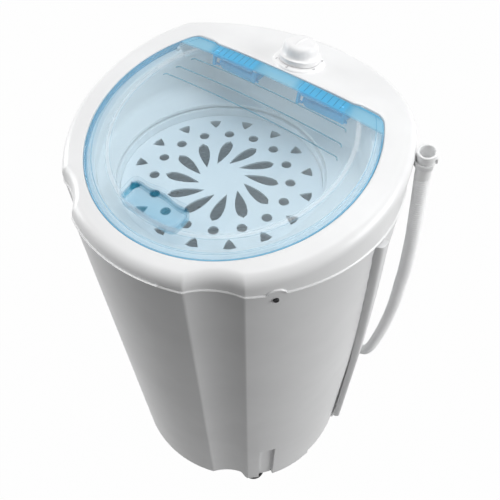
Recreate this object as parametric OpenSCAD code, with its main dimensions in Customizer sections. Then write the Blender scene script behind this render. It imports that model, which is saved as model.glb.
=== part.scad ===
// Free-standing laundry spin dryer: a tapered round cabinet with a see-through lid over a
// fast-spinning basket. +Z is up, the front faces -Y, +X is on the viewer's right, and the
// origin is on the floor under the middle of the cabinet. All lengths are millimetres.

/* [Body] */
// Radius of the body at the top cover's lower edge
body_r = 212; // [205:1:218]
// Radius of the cabinet where it ends above the feet
base_r = 196; // [190:1:200]
// Radius of the rear cover down there
rear_base_r = 204; // [198:1:208]
// Height of the top cover's lower edge above the floor
skirt_z = 647; // [640:1:655]
// Height of the cabinet's raised lower hem
hem_z = 35; // [28:1:36]
// Height of the hem at the cabinet's sides
side_hem_z = 26; // [20:1:28]
// Height of the hem's lobes over the feet
lobe_z = 12; // [9:1:16]
// Wall of the moulded shells
wall = 3; // [2.4:0.1:3.4]
// Gap between pieces that are slipped together
seat_gap = 0.3; // [0.2:0.05:0.4]

/* [Flutes and hem] */
// Angle of each flute from the front
flute_angle = 32.4; // [28:0.2:36]
// Radius of the flute's hollow
flute_r = 85; // [75:1:100]
// Depth of the flute
flute_depth = 8.8; // [6:0.2:10]
// Angle from the front where a lobe of the hem begins
lobe_from = 41; // [38:1:44]
// Angle from the front where a lobe of the hem ends
lobe_to = 79.5; // [70:0.5:84]
// Width of the channel beside each front foot
channel_w = 26; // [18:1:30]
// Height of that channel
channel_h = 141; // [90:1:160]
// Angle of the channel from the front
channel_angle = 52; // [50:0.5:56]

/* [Top] */
// Height of the lid's deck over the middle of the cabinet
deck_z = 703; // [700:0.5:706]
// Forward slope of the deck in degrees
deck_tilt = 10.5; // [9.5:0.1:11.5]
// Rise of the deck's dome
dome_h = 9; // [6:0.5:11]
// Radius at which the dome has run out
dome_r = 176; // [165:1:185]
// Height of the rear panel's plane over the middle of the cabinet
panel_z = 741.5; // [739:0.5:744]
// Rearward slope of the rear panel in degrees
panel_tilt = 9.1; // [8:0.1:10]
// Width of the rounded rim seen from above
rim_w = 13; // [8:0.5:16]
// Height of the rounded rim
rim_h = 15; // [10:0.5:17]

/* [Lid] */
// Radius of the lid
lid_r = 177; // [172:0.5:180]
// Distance of the lid's centre in front of the body axis
lid_ahead = 8; // [6:0.5:10]
// Distance of the lid's straight rear edge behind the body axis
lid_back = 94; // [92:0.5:95]
// Radius of the lid's rear corners
lid_corner = 18; // [14:1:24]
// Thickness of the lid's plate
lid_t = 2.6; // [2:0.1:3]
// Depth of the lid's rim below its edge
lid_rim_h = 7.7; // [6.5:0.1:8]
// Gap round the lid
lid_gap = 1.2; // [0.8:0.1:1.6]
// Gap behind the lid's rear edge, which swings down there
lid_rear_gap = 3.2; // [3:0.1:4]
// Width of the finger pocket
pocket_w = 88; // [70:1:100]
// Length of the finger pocket from front to rear
pocket_l = 30; // [24:1:34]
// Depth of the finger pocket
pocket_d = 18; // [8:0.5:19]
// Distance of the pocket's rear wall in front of the body axis
pocket_y = 129; // [126:0.5:132]

/* [Hinge] */
// Distance of the hinge axis behind the body axis
hinge_y = 84; // [82:0.5:85]
// Depth of the hinge axis below the lid's top
hinge_drop = 7.8; // [7.6:0.1:8.4]
// Radius of a hinge pin
hinge_pin_r = 2.5; // [2:0.1:2.8]
// Radius of a knuckle
knuckle_r = 4.5; // [4.2:0.1:4.6]
// Length of a knuckle
knuckle_l = 60; // [50:1:66]
// Distance of a knuckle's middle from the centre line
knuckle_x = 67; // [62:1:70]
// Thickness of an ear beside a knuckle
ear_t = 4; // [3:0.5:5]
// Radial clearance of a pin or shaft that turns
running_gap = 0.06; // [0.03:0.01:0.09]

/* [Drum] */
// Distance of the spin axis in front of the body axis
drum_ahead = 28; // [26:0.5:30]
// Height of the inner cover's top
disc_z = 635; // [632:0.5:637]
// Radius of the inner cover
disc_r = 126; // [122:0.5:127]
// Thickness of the inner cover
disc_t = 2.6; // [2:0.1:3.2]
// Width of the balance rim round the inner cover
rim_lip = 5; // [4:0.5:5.5]
// Height of the balance rim's top
rim_top_z = 646; // [644:0.5:647]
// Overhang of the balance rim past the basket's wall
rim_over = 3; // [2.5:0.5:5]
// Thickness of the basket's sheet
sheet_t = 1.2; // [0.8:0.1:1.6]
// Height of the basket's floor
basket_z = 240; // [236:1:250]
// Gap between the balance rim and the throat over it
throat_gap = 2; // [1.5:0.5:4]
// Height of the throat's ledge
throat_z = 652; // [651:0.5:653]
// Radius of the well over the throat
well_r = 165; // [160:0.5:168]
// Distance of the well's rear wall behind the body axis
well_back = 108; // [107:0.5:109]
// Travel of the inner cover as it is lifted
lift = 18; // [10:1:18]
// Rows of holes in the basket's wall
hole_rows = 6; // [3:1:8]
// Holes in one row of the basket's wall
hole_count = 12; // [8:2:16]
// Radius of one hole of the basket's wall
hole_r = 3; // [2:0.25:4]

/* [Inner cover] */
// Number of petals cut in the inner cover
petals = 12; // [10:1:12]
// Length of a petal
petal_l = 46.5; // [40:0.5:48]
// Half the width of a petal
petal_w = 7.2; // [5:0.2:7.4]
// Number of round holes, and of triangles
dots = 16; // [12:1:18]
// Radius of the ring of round holes
dot_ring = 86; // [84:0.5:88]
// Radius of a round hole
dot_r = 6.5; // [4:0.5:7]
// Radius of the ring of triangles
triangle_ring = 109; // [107:0.5:111]
// Radius of a triangle about its middle
triangle_r = 9.2; // [7:0.2:10]

/* [Tub] */
// Gap between the tub's foremost point and the cabinet's wall, at the tub's floor
tub_clear = 9.8; // [9:0.2:14]
// Height of the tub's floor
tub_z = 204; // [200:1:208]
// Height of the flange that the tub hangs by
flange_z = 641; // [638:0.5:643]
// Thickness of that flange
flange_t = 3; // [2.5:0.5:4]

/* [Motor] */
// Radius of the motor's case
motor_r = 62; // [58:1:68]
// Height of the motor's case between its brackets
motor_h = 58; // [50:1:64]
// Radius of the drive shaft
shaft_r = 6; // [5.5:0.5:7]
// Height of the motor's lower bracket
motor_z = 96; // [94:1:98]
// Outer radius of a bearing
bearing_r = 13; // [12:0.5:15]
// Height of a bearing
bearing_h = 8; // [6:0.5:8]
// Radius of the circle of motor springs
spring_ring = 78; // [76:1:84]
// Radius of a motor spring
spring_r = 13; // [11:0.5:14]
// Radius of the brake's drum
brake_r = 42; // [38:1:44]
// Gap between brake shoe and drum while the lid is shut
brake_gap = 1.5; // [1.4:0.1:2]

/* [Base] */
// Height of the base plate's underside
base_z = 40; // [38:0.5:42]
// Thickness of the base plate
base_t = 4; // [3:0.5:5]
// Radius of a foot's pad
foot_r = 20; // [16:1:22]
// Height of a foot's pad
foot_h = 11; // [8:0.5:11.5]
// Angle of each foot from the front or the rear
foot_angle = 46; // [44:0.5:48]

/* [Control] */
// Distance of the knob's axis behind the well's rear wall
knob_behind = 23; // [22:0.5:26]
// Radius of the dial ring
dial_r = 33; // [30:0.5:33.5]
// Height of the dial ring over the rear panel
dial_h = 3; // [2:0.5:4]
// Radius of the knob's grip
knob_r = 22.5; // [20:0.5:24]
// Radius of the knob's skirt
knob_skirt_r = 26; // [24.5:0.5:28]
// Height of the knob
knob_h = 25; // [20:1:28]

/* [Drain hose] */
// Outer radius of the hose's ribs
hose_r = 9.5; // [8.5:0.25:9.5]
// Inner radius of the hose
hose_bore_r = 7; // [6:0.25:7.25]
// Number of ribs
rib_count = 130; // [60:1:150]
// Outer radius of the cuff at the hose's open end
cuff_r = 11.5; // [10.5:0.25:11.5]
// Length of the cuff
cuff_l = 26; // [20:1:30]

/* [Fasteners] */
// Radius of a screw's head
screw_head_r = 3.4; // [3:0.1:4]
// Radius of a screw's shank
screw_r = 1.7; // [1.5:0.1:2]
// Length of a screw's shank
screw_l = 7; // [5:0.5:8]

/* [Hidden] */

$fn = 96;
small = 32;
far = 400;
eps = 0.01;

white = "whitesmoke";
grey = "gainsboro";
steel = "silver";
dark = "dimgray";
black = [0.08, 0.08, 0.08];
blue = [0.55, 0.8, 0.92, 0.45];

drum_y = -drum_ahead;
taper = (body_r - base_r) / (skirt_z - lobe_z);
rear_taper = (body_r - rear_base_r) / (skirt_z - lobe_z);
flute_out = flute_r - flute_depth;
panel_t = wall + seat_gap;
rear_front_z = skirt_z - 1;
rear_bottom_z = side_hem_z + 4;
edge_top_y = -15.7;
edge_lean = 8.9;
edge_knee_z = 240;
edge_low_y = 47;
edge_low_lean = 1.7;
collar_r = body_r - panel_t - 0.1;
flange_r = body_r - wall - panel_t - seat_gap - 0.5;
rib_w = 18;
rib_out = 8;
throat_t = wall;
ledge_drop = lid_rim_h + seat_gap;
base_disc_r = body_radius(base_z) - wall - 0.5;
foot_ring_r = base_r - foot_r;
plate_z = motor_z - 4;
case_z = motor_z + 8;
case_top_z = case_z + motor_h;
brake_z = case_top_z + 14;
brake_h = 16;
screw_angle = 50.3;
screw_z = skirt_z - 9;
arch_r = 12.5;
arch_z = skirt_z - 5;
axle_z = deck_top(hinge_y) + dome(hinge_y) - hinge_drop;
rim_r = disc_r + rim_lip;
basket_r = rim_r - rim_over;
throat_r = rim_r + throat_gap;
cable_x = (well_r + body_r) / 2 - 4.5;
cable_y = 22;
ear_r = hinge_pin_r + 1.1;
knob_y = well_back + knob_behind;
knob_z = panel_top(knob_y);
tub_r = body_radius(tub_z) - wall - drum_ahead - tub_clear;

// Radius of the cabinet's outside at a height
function body_radius(z) = base_r + taper * (z - lobe_z);
// Radius of the rear cover's outside at a height
function rear_radius(z) = rear_base_r + rear_taper * (z - lobe_z);
// Height of the deck's plane and of the rear panel's plane at a distance behind the body axis
function deck_top(y) = deck_z + y * tan(deck_tilt);
function panel_top(y) = panel_z - y * tan(panel_tilt);
// Rise of the dome at a distance from its middle
function dome(r) = r < dome_r ? dome_h * (1 - pow(r / dome_r, 2)) : 0;

module ring(r_out, r_in, h) {
  difference() {
    cylinder(r = r_out, h = h);
    translate([0, 0, -1]) cylinder(r = r_in, h = h + 2);
  }
}

module at_drum(z = 0) { translate([0, drum_y, z]) children(); }

// Puts a shape on both sides of the front, or of the rear, at an angle from it
module both_sides(angle, facing = -90) {
  for (side = [-1, 1]) rotate([0, 0, facing + side * angle]) children();
}

module sector(from, to, h) {
  linear_extrude(h)
    polygon([[0, 0], for (i = [0 : 4]) let (a = from + (to - from) * i / 4) far * [cos(a), sin(a)]]);
}

// The cabinet's tapered outline with its two flutes, drawn in by an inset
module tapered(z0, z1, inset, fluted = true) {
  difference() {
    translate([0, 0, z0])
      cylinder(h = z1 - z0, r1 = body_radius(z0) - inset, r2 = body_radius(z1) - inset);
    if (fluted) both_sides(flute_angle)
      translate([base_r + flute_out, 0, lobe_z]) rotate([0, atan(taper), 0])
        translate([0, 0, -80]) cylinder(r = flute_r + inset, h = 900);
  }
}

// The rear cover's tapered outline, drawn in by an inset
module rear_tapered(z0, z1, inset) {
  translate([0, 0, z0]) cylinder(h = z1 - z0, r1 = rear_radius(z0) - inset, r2 = rear_radius(z1) - inset);
}

// Everything in front of the rear cover's bent front edge
module front_zone(shift = 0) {
  intersection() {
    translate([0, edge_top_y + shift, rear_front_z]) rotate([edge_lean, 0, 0]) front_half();
    translate([0, edge_low_y + shift, edge_knee_z]) rotate([edge_low_lean, 0, 0]) front_half();
  }
}

module front_half() { translate([-far, -2 * far, -3 * far]) cube([2 * far, 2 * far, 6 * far]); }

module cabinet_outside() {
  difference() {
    rear_tapered(lobe_z, skirt_z, panel_t);
    front_zone();
  }
  intersection() {
    tapered(lobe_z, skirt_z, 0);
    front_zone();
  }
}

module cabinet_hollow() {
  tapered(lobe_z - 1, skirt_z + 1, wall + panel_t);
  difference() {
    rear_tapered(lobe_z - 1, skirt_z + 1, wall + panel_t);
    front_zone(wall);
  }
  intersection() {
    tapered(lobe_z - 1, skirt_z + 1, wall);
    front_zone(-wall);
  }
}

module cabinet() {
  color(white) {
    difference() {
      cabinet_outside();
      difference() {
        cabinet_hollow();
        // Block behind each front channel
        intersection() {
          translate([0, 0, -1]) cylinder(r = far, h = lobe_z + channel_h + 7);
          front_channel(channel_w + 8, 12);
        }
        // Shoulder under the tub's flange, and the ledge that carries the base plate
        translate([0, 0, flange_z - 8]) ring(far, body_r - 12, 8);
        translate([0, 0, skirt_z - 3]) ring(far, collar_r - wall, 4);
        difference() {
          translate([0, 0, base_z - 4]) ring(far, base_disc_r - 6, 4);
          both_sides(foot_angle) foot_column(0.5);
          both_sides(foot_angle, 90) foot_column(0.5);
        }
      }
      front_channel(channel_w, 6);
      // Raised hem between the lobes
      difference() {
        translate([0, 0, -1]) cylinder(r = far, h = hem_z + 1);
        for (side = [-1, 1], facing = [-90, 90])
          translate([0, 0, -2]) sector(facing + side * lobe_from, facing + side * lobe_to, hem_z + 4);
        for (side = [0, 180]) translate([0, 0, side_hem_z])
          sector(side - 90 + lobe_to - 1, side + 90 - lobe_to + 1, hem_z);
      }
      // Service opening behind the motor, under the rear cover
      translate([-90, 100, 100]) cube([180, far, 380]);
      drain_path(3);
      cord_path(0.2);
      both_sides(screw_angle) screw_hole();
      both_sides(screw_angle, 90) screw_hole();
      rear_screw_holes();
    }
    // Collar that slips into the top cover
    difference() {
      intersection() {
        translate([0, 0, skirt_z - 3]) ring(collar_r, collar_r - wall, 13);
        top_block(wall + seat_gap, skirt_z - 4);
      }
      both_sides(screw_angle) screw_hole();
      both_sides(screw_angle, 90) screw_hole();
    }
    // Tabs that stand up into the cover's arches
    difference() {
      intersection() {
        union() {
          both_sides(screw_angle) arch(arch_r - seat_gap);
          both_sides(screw_angle, 90) arch(arch_r - seat_gap);
        }
        translate([0, 0, skirt_z - 0.5]) ring(body_r - 0.05, collar_r - 1, 20);
      }
      both_sides(screw_angle) screw_hole();
      both_sides(screw_angle, 90) screw_hole();
    }
  }
}

// Half-round arch, drawn radially on the wall
module arch(r) {
  translate([body_r - 30, 0, arch_z]) rotate([0, 90, 0]) cylinder(r = r, h = 60, $fn = 48);
  translate([body_r - 30, -r, arch_z - 20]) cube([60, 2 * r, 20]);
}

module screw_hole() {
  translate([body_r - 20, 0, screw_z]) rotate([0, 90, 0])
    cylinder(r = screw_r + 0.1, h = 40, $fn = small);
}

// Channel beside each front foot, cut to a depth from the outside
module front_channel(w, depth) {
  both_sides(channel_angle)
    translate([base_r - depth, -w / 2, -1]) cube([far, w, lobe_z + channel_h + 1]);
}

// The top's upright flutes
module flutes_upright(inset) {
  both_sides(flute_angle) translate([body_r + flute_out, 0, skirt_z - 60])
    cylinder(r = flute_r + inset, h = 200);
}

// Cap that bounds the top from above: a dome or a plane with a rounded rim
module cap(rise, inset) {
  rim_from = body_r + 1.5 - rim_w - inset;
  rotate_extrude() polygon(concat(
    [[0, -300], [0, rise - inset]],
    [for (i = [1 : 7]) let (r = dome_r * i / 7) [r, rise * (1 - pow(i / 7, 2)) - inset]],
    [for (a = [0 : 18 : 90]) [rim_from + rim_w * sin(a), -rim_h * (1 - cos(a)) - inset]],
    [[body_r + 190, -300]]
  ));
}

module deck_cap(inset) {
  translate([0, 0, deck_z]) rotate([deck_tilt, 0, 0]) cap(dome_h, inset);
}

module panel_cap(inset) {
  translate([0, 0, panel_z]) rotate([-panel_tilt, 0, 0]) cap(eps, inset);
}

// Half-space above the deck's plane, lowered by a drop
module above_deck(drop) {
  translate([0, 0, deck_z]) rotate([deck_tilt, 0, 0])
    translate([-far, -far, -drop]) cube([2 * far, 2 * far, far]);
}

module top_block(inset, from_z) {
  intersection() {
    difference() {
      translate([0, 0, from_z]) cylinder(r = body_r - inset, h = 150);
      flutes_upright(inset);
    }
    deck_cap(inset);
    panel_cap(inset);
  }
}

// The lid's outline in plan, grown at its round edge and at its rear edge
module lid_outline(grow, grow_back) {
  r = lid_r + grow;
  back = lid_back + lid_ahead + grow_back;
  corner = lid_corner + grow;
  cx = sqrt(pow(r - corner, 2) - pow(back - corner, 2));
  translate([0, -lid_ahead]) union() {
    difference() {
      circle(r = r);
      translate([-far, back]) square([2 * far, far]);
      for (side = [-1, 1]) translate([side * cx, back - corner])
        polygon(60 * [[0, 0], [0, 1], [side, 1], [side * cx, back - corner] / (r - corner)]);
    }
    for (side = [-1, 1]) translate([side * cx, back - corner]) circle(r = corner);
  }
}

module well_outline(grow) {
  intersection() {
    translate([0, -lid_ahead]) circle(r = well_r + grow);
    translate([-far, -far]) square([2 * far, far + well_back + grow]);
  }
}

// Trough that the lid's rear edge swings through, round the hinge axis
module swing_trough(grow) {
  intersection() {
    translate([-far, hinge_y, axle_z]) rotate([0, 90, 0])
      cylinder(r = sqrt(pow(lid_back - hinge_y, 2) + pow(hinge_drop, 2)) + lid_gap + grow, h = 2 * far);
    translate([0, 0, throat_z]) linear_extrude(far) lid_outline(lid_gap + grow, lid_rear_gap + grow);
    translate([-far, hinge_y - knuckle_r - 12, 0]) cube([2 * far, far, 2 * far]);
  }
}

module top_cover() {
  color(white) difference() {
    union() {
      difference() {
        top_block(0, skirt_z);
        top_block(wall, skirt_z - 1);
      }
      intersection() {
        top_block(1, throat_z - throat_t);
        union() {
          translate([0, 0, throat_z - throat_t]) linear_extrude(far) well_outline(wall);
          intersection() {
            translate([0, 0, throat_z]) linear_extrude(far) lid_outline(lid_gap + wall, lid_rear_gap + wall);
            above_deck(ledge_drop + wall);
          }
          swing_trough(wall);
        }
      }
    }
    intersection() {
      swing_trough(0);
      top_block(wall, throat_z);
    }
    // Recess that the lid drops into
    intersection() {
      translate([0, 0, throat_z]) linear_extrude(far) lid_outline(lid_gap, lid_rear_gap);
      above_deck(ledge_drop);
    }
    // The well, roofed by the rear panel behind the lid
    intersection() {
      translate([0, 0, throat_z]) linear_extrude(far) well_outline(0);
      top_block(wall, throat_z);
    }
    at_drum(throat_z - 20) cylinder(r = throat_r, h = 40);
    both_sides(screw_angle) arch(arch_r);
    both_sides(screw_angle, 90) arch(arch_r);
    on_panel() translate([0, 0, -20]) cylinder(r = 5.5, h = 40, $fn = small);
    switch_at() translate([0, 0, -60]) cylinder(r = plunger_r + 0.5, h = 100, $fn = small);
  }
}

// The lid: a domed plate, its rim and two knuckles, open where the finger pocket is set in
module lid() {
  color(blue) difference() {
    union() {
      intersection() {
        difference() {
          deck_cap(0);
          translate([0, 0, -lid_t]) deck_cap(0);
        }
        translate([0, 0, throat_z]) linear_extrude(far) lid_outline(0, 0);
      }
      intersection() {
        deck_cap(0);
        above_deck(lid_rim_h);
        translate([0, 0, throat_z]) linear_extrude(far) difference() {
          lid_outline(0, 0);
          lid_outline(-2.5, -2.5);
        }
        translate([-far, -far, 0]) cube([2 * far, far + hinge_y - knuckle_r - 2, 2 * far]);
      }
      for (side = [-1, 1]) translate([side * knuckle_x - knuckle_l / 2, hinge_y, axle_z]) {
        rotate([0, 90, 0]) cylinder(r = knuckle_r, h = knuckle_l, $fn = 48);
        translate([0, -3.5, 0]) cube([knuckle_l, 7, hinge_drop - lid_t / 2 - 0.6]);
      }
    }
    pocket(0, pocket_d);
    for (side = [-1, 1]) translate([side * knuckle_x, hinge_y, axle_z]) rotate([0, 90, 0]) {
      cylinder(r = hinge_pin_r + running_gap, h = far, center = true, $fn = 48);
      for (end = [-1, 1]) translate([0, 0, end * (knuckle_l / 2 + 0.5 + ear_t / 2)])
        cylinder(r = ear_r + seat_gap, h = ear_t + 0.8, center = true, $fn = 48);
    }
  }
}

// The finger pocket that fills that opening: a tray whose top follows the lid
module lid_grip() {
  color(blue) difference() {
    intersection() {
      pocket(0, pocket_d);
      deck_cap(0);
    }
    pocket(lid_t - 0.2, pocket_d - lid_t + 0.2);
  }
}

// Block of the finger pocket, drawn in by its wall
module pocket(inset, depth) {
  translate([0, 0, deck_z]) rotate([deck_tilt, 0, 0])
    translate([-pocket_w / 2 + inset, -pocket_y - pocket_l + inset, -depth])
      cube([pocket_w - 2 * inset, pocket_l - 2 * inset, depth + 20]);
}

module hinge_pin(side) {
  color(steel) translate([side * knuckle_x - knuckle_l / 2 - ear_t - 0.7, hinge_y, axle_z])
    rotate([0, 90, 0]) cylinder(r = hinge_pin_r, h = knuckle_l + 2 * ear_t + 1.4, $fn = 48);
}

// Bracket on the well's rear wall whose two ears hold a hinge pin
module hinge_bracket(side) {
  arm_top = axle_z - 15;
  color(white) difference() {
    translate([side * knuckle_x, 0, 0]) {
      for (end = [-1, 1]) translate([end * (knuckle_l / 2 + 0.5 + ear_t / 2) - ear_t / 2, 0, 0]) {
        translate([0, hinge_y, axle_z]) rotate([0, 90, 0])
          cylinder(r = ear_r, h = ear_t, $fn = 48);
        translate([0, hinge_y - ear_r, axle_z - 21]) cube([ear_t, ear_r, 21]);
      }
      translate([-knuckle_l / 2 - ear_t - 0.5, hinge_y - ear_r, axle_z - 21])
        cube([knuckle_l + 2 * ear_t + 1, well_back - hinge_y + ear_r, arm_top - axle_z + 21]);
    }
    translate([-far, hinge_y, axle_z]) rotate([0, 90, 0])
      cylinder(r = hinge_pin_r + 0.02, h = 2 * far, $fn = 48);
  }
}

// One petal of the inner cover: pointed at its inner end, round at its outer end, and
// widest two thirds of the way along
module petal() {
  steps = 9;
  function half_width(t) = petal_w * 2.6 * t * sqrt(1 - t);
  translate([26.4, 10.4]) rotate(-12.3) polygon(concat(
    [for (i = [0 : steps]) let (t = i / steps) [petal_l * t, half_width(t)]],
    [for (i = [steps - 1 : -1 : 1]) let (t = i / steps) [petal_l * t, -half_width(t)]]
  ));
}

module inner_cover() {
  color(white) at_drum(disc_z - disc_t) difference() {
    union() {
      cylinder(r = disc_r, h = disc_t);
      translate([0, 0, -5]) ring(disc_r - 8.3, disc_r - 10.5, 5 + eps);
    }
    translate([0, 0, -1]) linear_extrude(disc_t + 2) {
      for (i = [0 : petals - 1]) rotate(i * 360 / petals) petal();
      for (i = [0 : dots - 1]) {
        rotate(10.4 + i * 360 / dots) translate([dot_ring, 0]) circle(r = dot_r, $fn = small);
        rotate(21.65 + i * 360 / dots) translate([triangle_ring, 0])
          polygon([for (a = [180, 132, 60, 0, -60, -132]) (a == 0 ? 6.2 : triangle_r) * (abs(a) == 132 ? 0.62 : 1) * [cos(a), sin(a)]]);
      }
    }
  }
}

module basket_wall() {
  pitch = (disc_z - 60 - basket_z - 40) / hole_rows;
  color(steel) at_drum() difference() {
    translate([0, 0, basket_z + 3]) ring(basket_r, basket_r - sheet_t, disc_z - 13 - basket_z - 3);
    for (row = [1 : hole_rows], i = [0 : hole_count / 2 - 1])
      translate([0, 0, basket_z + 20 + row * pitch])
        rotate([90, 0, (i + (row % 2) / 2) * 360 / hole_count])
          cylinder(r = hole_r, h = 2 * far, center = true, $fn = 16);
  }
}

module basket_base() {
  color(white) at_drum(basket_z) difference() {
    union() {
      cylinder(r = basket_r - sheet_t - 0.1, h = 6);
      ring(basket_r + 1.4, basket_r - sheet_t - 4, 3 - eps);
      translate([0, 0, -14]) cylinder(r = 24, h = 14 + eps, $fn = small);
      cylinder(r1 = 40, r2 = 22, h = 14, $fn = 64);
    }
    translate([0, 0, -20]) cylinder(r = shaft_r + 0.02, h = 60, $fn = small);
    for (i = [0 : 11]) rotate([0, 0, i * 30]) translate([92, 0, -1]) cylinder(r = 4, h = 10, $fn = 16);
  }
}

module basket_rim() {
  color(white) at_drum() difference() {
    translate([0, 0, disc_z - 13]) cylinder(r = rim_r, h = rim_top_z - disc_z + 13);
    translate([0, 0, disc_z - disc_t]) cylinder(r = disc_r + seat_gap, h = 40);
    translate([0, 0, disc_z - 20]) cylinder(r = disc_r - 8, h = 40);
  }
}

module basket_nut() {
  color(steel) at_drum(basket_z + 14) difference() {
    cylinder(r = 12, h = 9, $fn = 6);
    translate([0, 0, -1]) cylinder(r = shaft_r + 0.02, h = 12, $fn = small);
  }
}

module outer_tub() {
  color(grey) difference() {
    union() {
      at_drum(tub_z) cylinder(r = tub_r, h = throat_z - throat_t - seat_gap - tub_z);
      translate([0, 0, flange_z]) cylinder(r = flange_r, h = flange_t);
    }
    at_drum(tub_z + 4) cylinder(r = tub_r - wall, h = far + 60);
    at_drum(tub_z - 1) cylinder(r = 22.2, h = 10, $fn = 64);
    translate([drain_x, drain_y, tub_z - 1]) cylinder(r = hose_bore_r, h = 10, $fn = small);
    translate([0, 0, -30]) flutes_upright(wall + panel_t + 1);
    translate([cable_x, cable_y, flange_z - 1]) cylinder(r = 4, h = flange_t + 2, $fn = small);
    both_sides(screw_angle) screw_hole();
    both_sides(screw_angle, 90) screw_hole();
  }
}

module shaft_seal() {
  color(black) at_drum(tub_z - 4) rotate_extrude($fn = 64)
    polygon([[shaft_r + 0.35, 0], [26, 0], [26, 4], [22, 4], [22, 8.3], [18, 8.3], [14, 16], [shaft_r + 0.35, 16]]);
}

module drive_shaft() {
  color(steel) at_drum(motor_z - 4) cylinder(r = shaft_r, h = basket_z + 26 - motor_z + 4, $fn = small);
}

module bearing(z) {
  color(steel) at_drum(z) ring(bearing_r, shaft_r + running_gap, bearing_h, $fn = 48);
}

module motor_case() {
  color(grey) at_drum(case_z) difference() {
    cylinder(r = motor_r, h = motor_h);
    translate([0, 0, -1]) cylinder(r = motor_r * 0.66, h = motor_h + 2);
    for (i = [0 : 7]) rotate([0, 0, i * 45]) translate([motor_r, 0, 6]) cylinder(r = 4, h = motor_h - 12, $fn = 24);
  }
}

module motor_bracket(z, bearing_side) {
  color(steel) at_drum(z) difference() {
    cylinder(r = motor_r - 2, h = 8);
    translate([0, 0, -1]) cylinder(r = bearing_r + 0.02, h = 20, $fn = 48);
    for (i = [0 : 5]) rotate([0, 0, i * 60 + 30]) translate([34, 0, -1]) cylinder(r = 7, h = 12, $fn = 24);
  }
}

module motor_rotor() {
  color(dark) at_drum(case_z + 5) ring(motor_r * 0.66 - 0.6, shaft_r + 0.02, motor_h - 10);
}

module motor_plate() {
  color(dark) at_drum(plate_z) difference() {
    cylinder(r = spring_ring + spring_r + 3, h = 4);
    translate([0, 0, -1]) cylinder(r = 24, h = 6, $fn = small);
    for (i = [0 : 2]) rotate([0, 0, 60 + i * 120]) translate([62, 0, -1]) cylinder(r = 20, h = 6, $fn = 48);
  }
}

module motor_spring(i) {
  color(steel) at_drum(base_z + base_t + 4) rotate([0, 0, i * 120]) translate([spring_ring, 0, 0])
    ring(spring_r, spring_r - 3, plate_z - base_z - base_t - 4, $fn = 48);
}

module spring_bushes() {
  color(black) at_drum(base_z + base_t) for (i = [0 : 2]) rotate([0, 0, i * 120])
    translate([spring_ring, 0, 0]) {
      cylinder(r = spring_r + 2, h = 4, $fn = 48);
      cylinder(r = spring_r - 3.3, h = 16, $fn = 48);
    }
}

module base_plate() {
  color(dark) translate([0, 0, base_z]) difference() {
    cylinder(r = base_disc_r, h = base_t);
    translate([0, 0, -20]) for (side = [-1, 1], facing = [-90, 90]) rotate([0, 0, facing + side * channel_angle])
      translate([base_r - 15, -channel_w, 0]) cube([40, 2 * channel_w, 40]);
    both_sides(flute_angle) translate([body_radius(base_z) + flute_out, 0, -1]) cylinder(r = flute_r + wall + 1, h = 20);
    at_drum(-1) cylinder(r = 36, h = 20);
    both_sides(foot_angle) foot_bolt_hole();
    both_sides(foot_angle, 90) foot_bolt_hole();
    for (i = [-3 : 3]) translate([i * 18 - 4, 70, -1]) cube([8, 70, 20]);
    // Notches round the webs that join the cabinet's front and rear walls
    translate([0, 0, -base_z]) intersection() {
      difference() {
        front_zone(wall + 1);
        front_zone(-wall - 1);
      }
      translate([0, 0, base_z - 1]) ring(far, base_disc_r - panel_t, base_t + 2);
    }
  }
}

module foot_bolt_hole() {
  translate([foot_ring_r - 6, 0, -1]) cylinder(r = screw_r + 0.3, h = 20, $fn = small);
}

module foot_column(grow) {
  translate([foot_ring_r - 6, 0, 0]) cylinder(r = 10 + grow, h = base_z, $fn = 48);
}

module foot(angle) {
  color(black) rotate([0, 0, angle]) difference() {
    union() {
      translate([foot_ring_r, 0, 0]) cylinder(r = foot_r, h = foot_h, $fn = 64);
      intersection() {
        foot_column(0);
        translate([0, 0, foot_h - 1]) cylinder(r = far, h = far);
      }
    }
    translate([foot_ring_r - 6, 0, base_z - 12]) cylinder(r = screw_r + 0.02, h = 20, $fn = small);
  }
}

module brake_drum() {
  color(steel) at_drum(brake_z) difference() {
    cylinder(r = brake_r, h = brake_h);
    translate([0, 0, 4]) ring(brake_r - 4, 12, brake_h);
    translate([0, 0, -1]) cylinder(r = shaft_r + 0.02, h = brake_h + 2, $fn = small);
  }
}

pivot_x = brake_r + 12;
pivot_y = drum_y + 44;
lever_z = brake_z + 5;

module brake_lever() {
  color(steel) difference() {
    union() {
      translate([pivot_x - 4, drum_y - 32, lever_z]) cube([8, 76, 6]);
      translate([pivot_x, pivot_y, lever_z]) cylinder(r = 7, h = 6, $fn = 48);
    }
    translate([pivot_x, pivot_y, lever_z - 1]) cylinder(r = 3 + running_gap, h = 8, $fn = small);
  }
}

module brake_shoe() {
  color(black) difference() {
    translate([brake_r - 4, drum_y - 14, brake_z + 3]) cube([pivot_x - brake_r, 28, 10]);
    at_drum(brake_z) cylinder(r = brake_r + brake_gap, h = 20);
  }
}

module brake_pivot() {
  color(steel) translate([pivot_x, pivot_y, 0]) {
    translate([0, 0, lever_z - 4]) cylinder(r = 3, h = tub_z - lever_z + 4, $fn = small);
    translate([0, 0, lever_z - 4]) cylinder(r = 6, h = 3.7, $fn = small);
    translate([0, 0, tub_z - 6]) cylinder(r = 8, h = 6, $fn = small);
  }
}

// Frame of the rear panel at the knob: the knob turns about its upright axis
module on_panel() {
  translate([0, knob_y, knob_z]) rotate([-panel_tilt, 0, 0]) children();
}

module dial_ring() {
  color(white) difference() {
    on_panel() translate([0, 0, -12]) ring(dial_r, 6, dial_h + 12, $fn = 96);
    intersection() {
      deck_cap(-eps);
      panel_cap(-eps);
    }
  }
}

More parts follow.
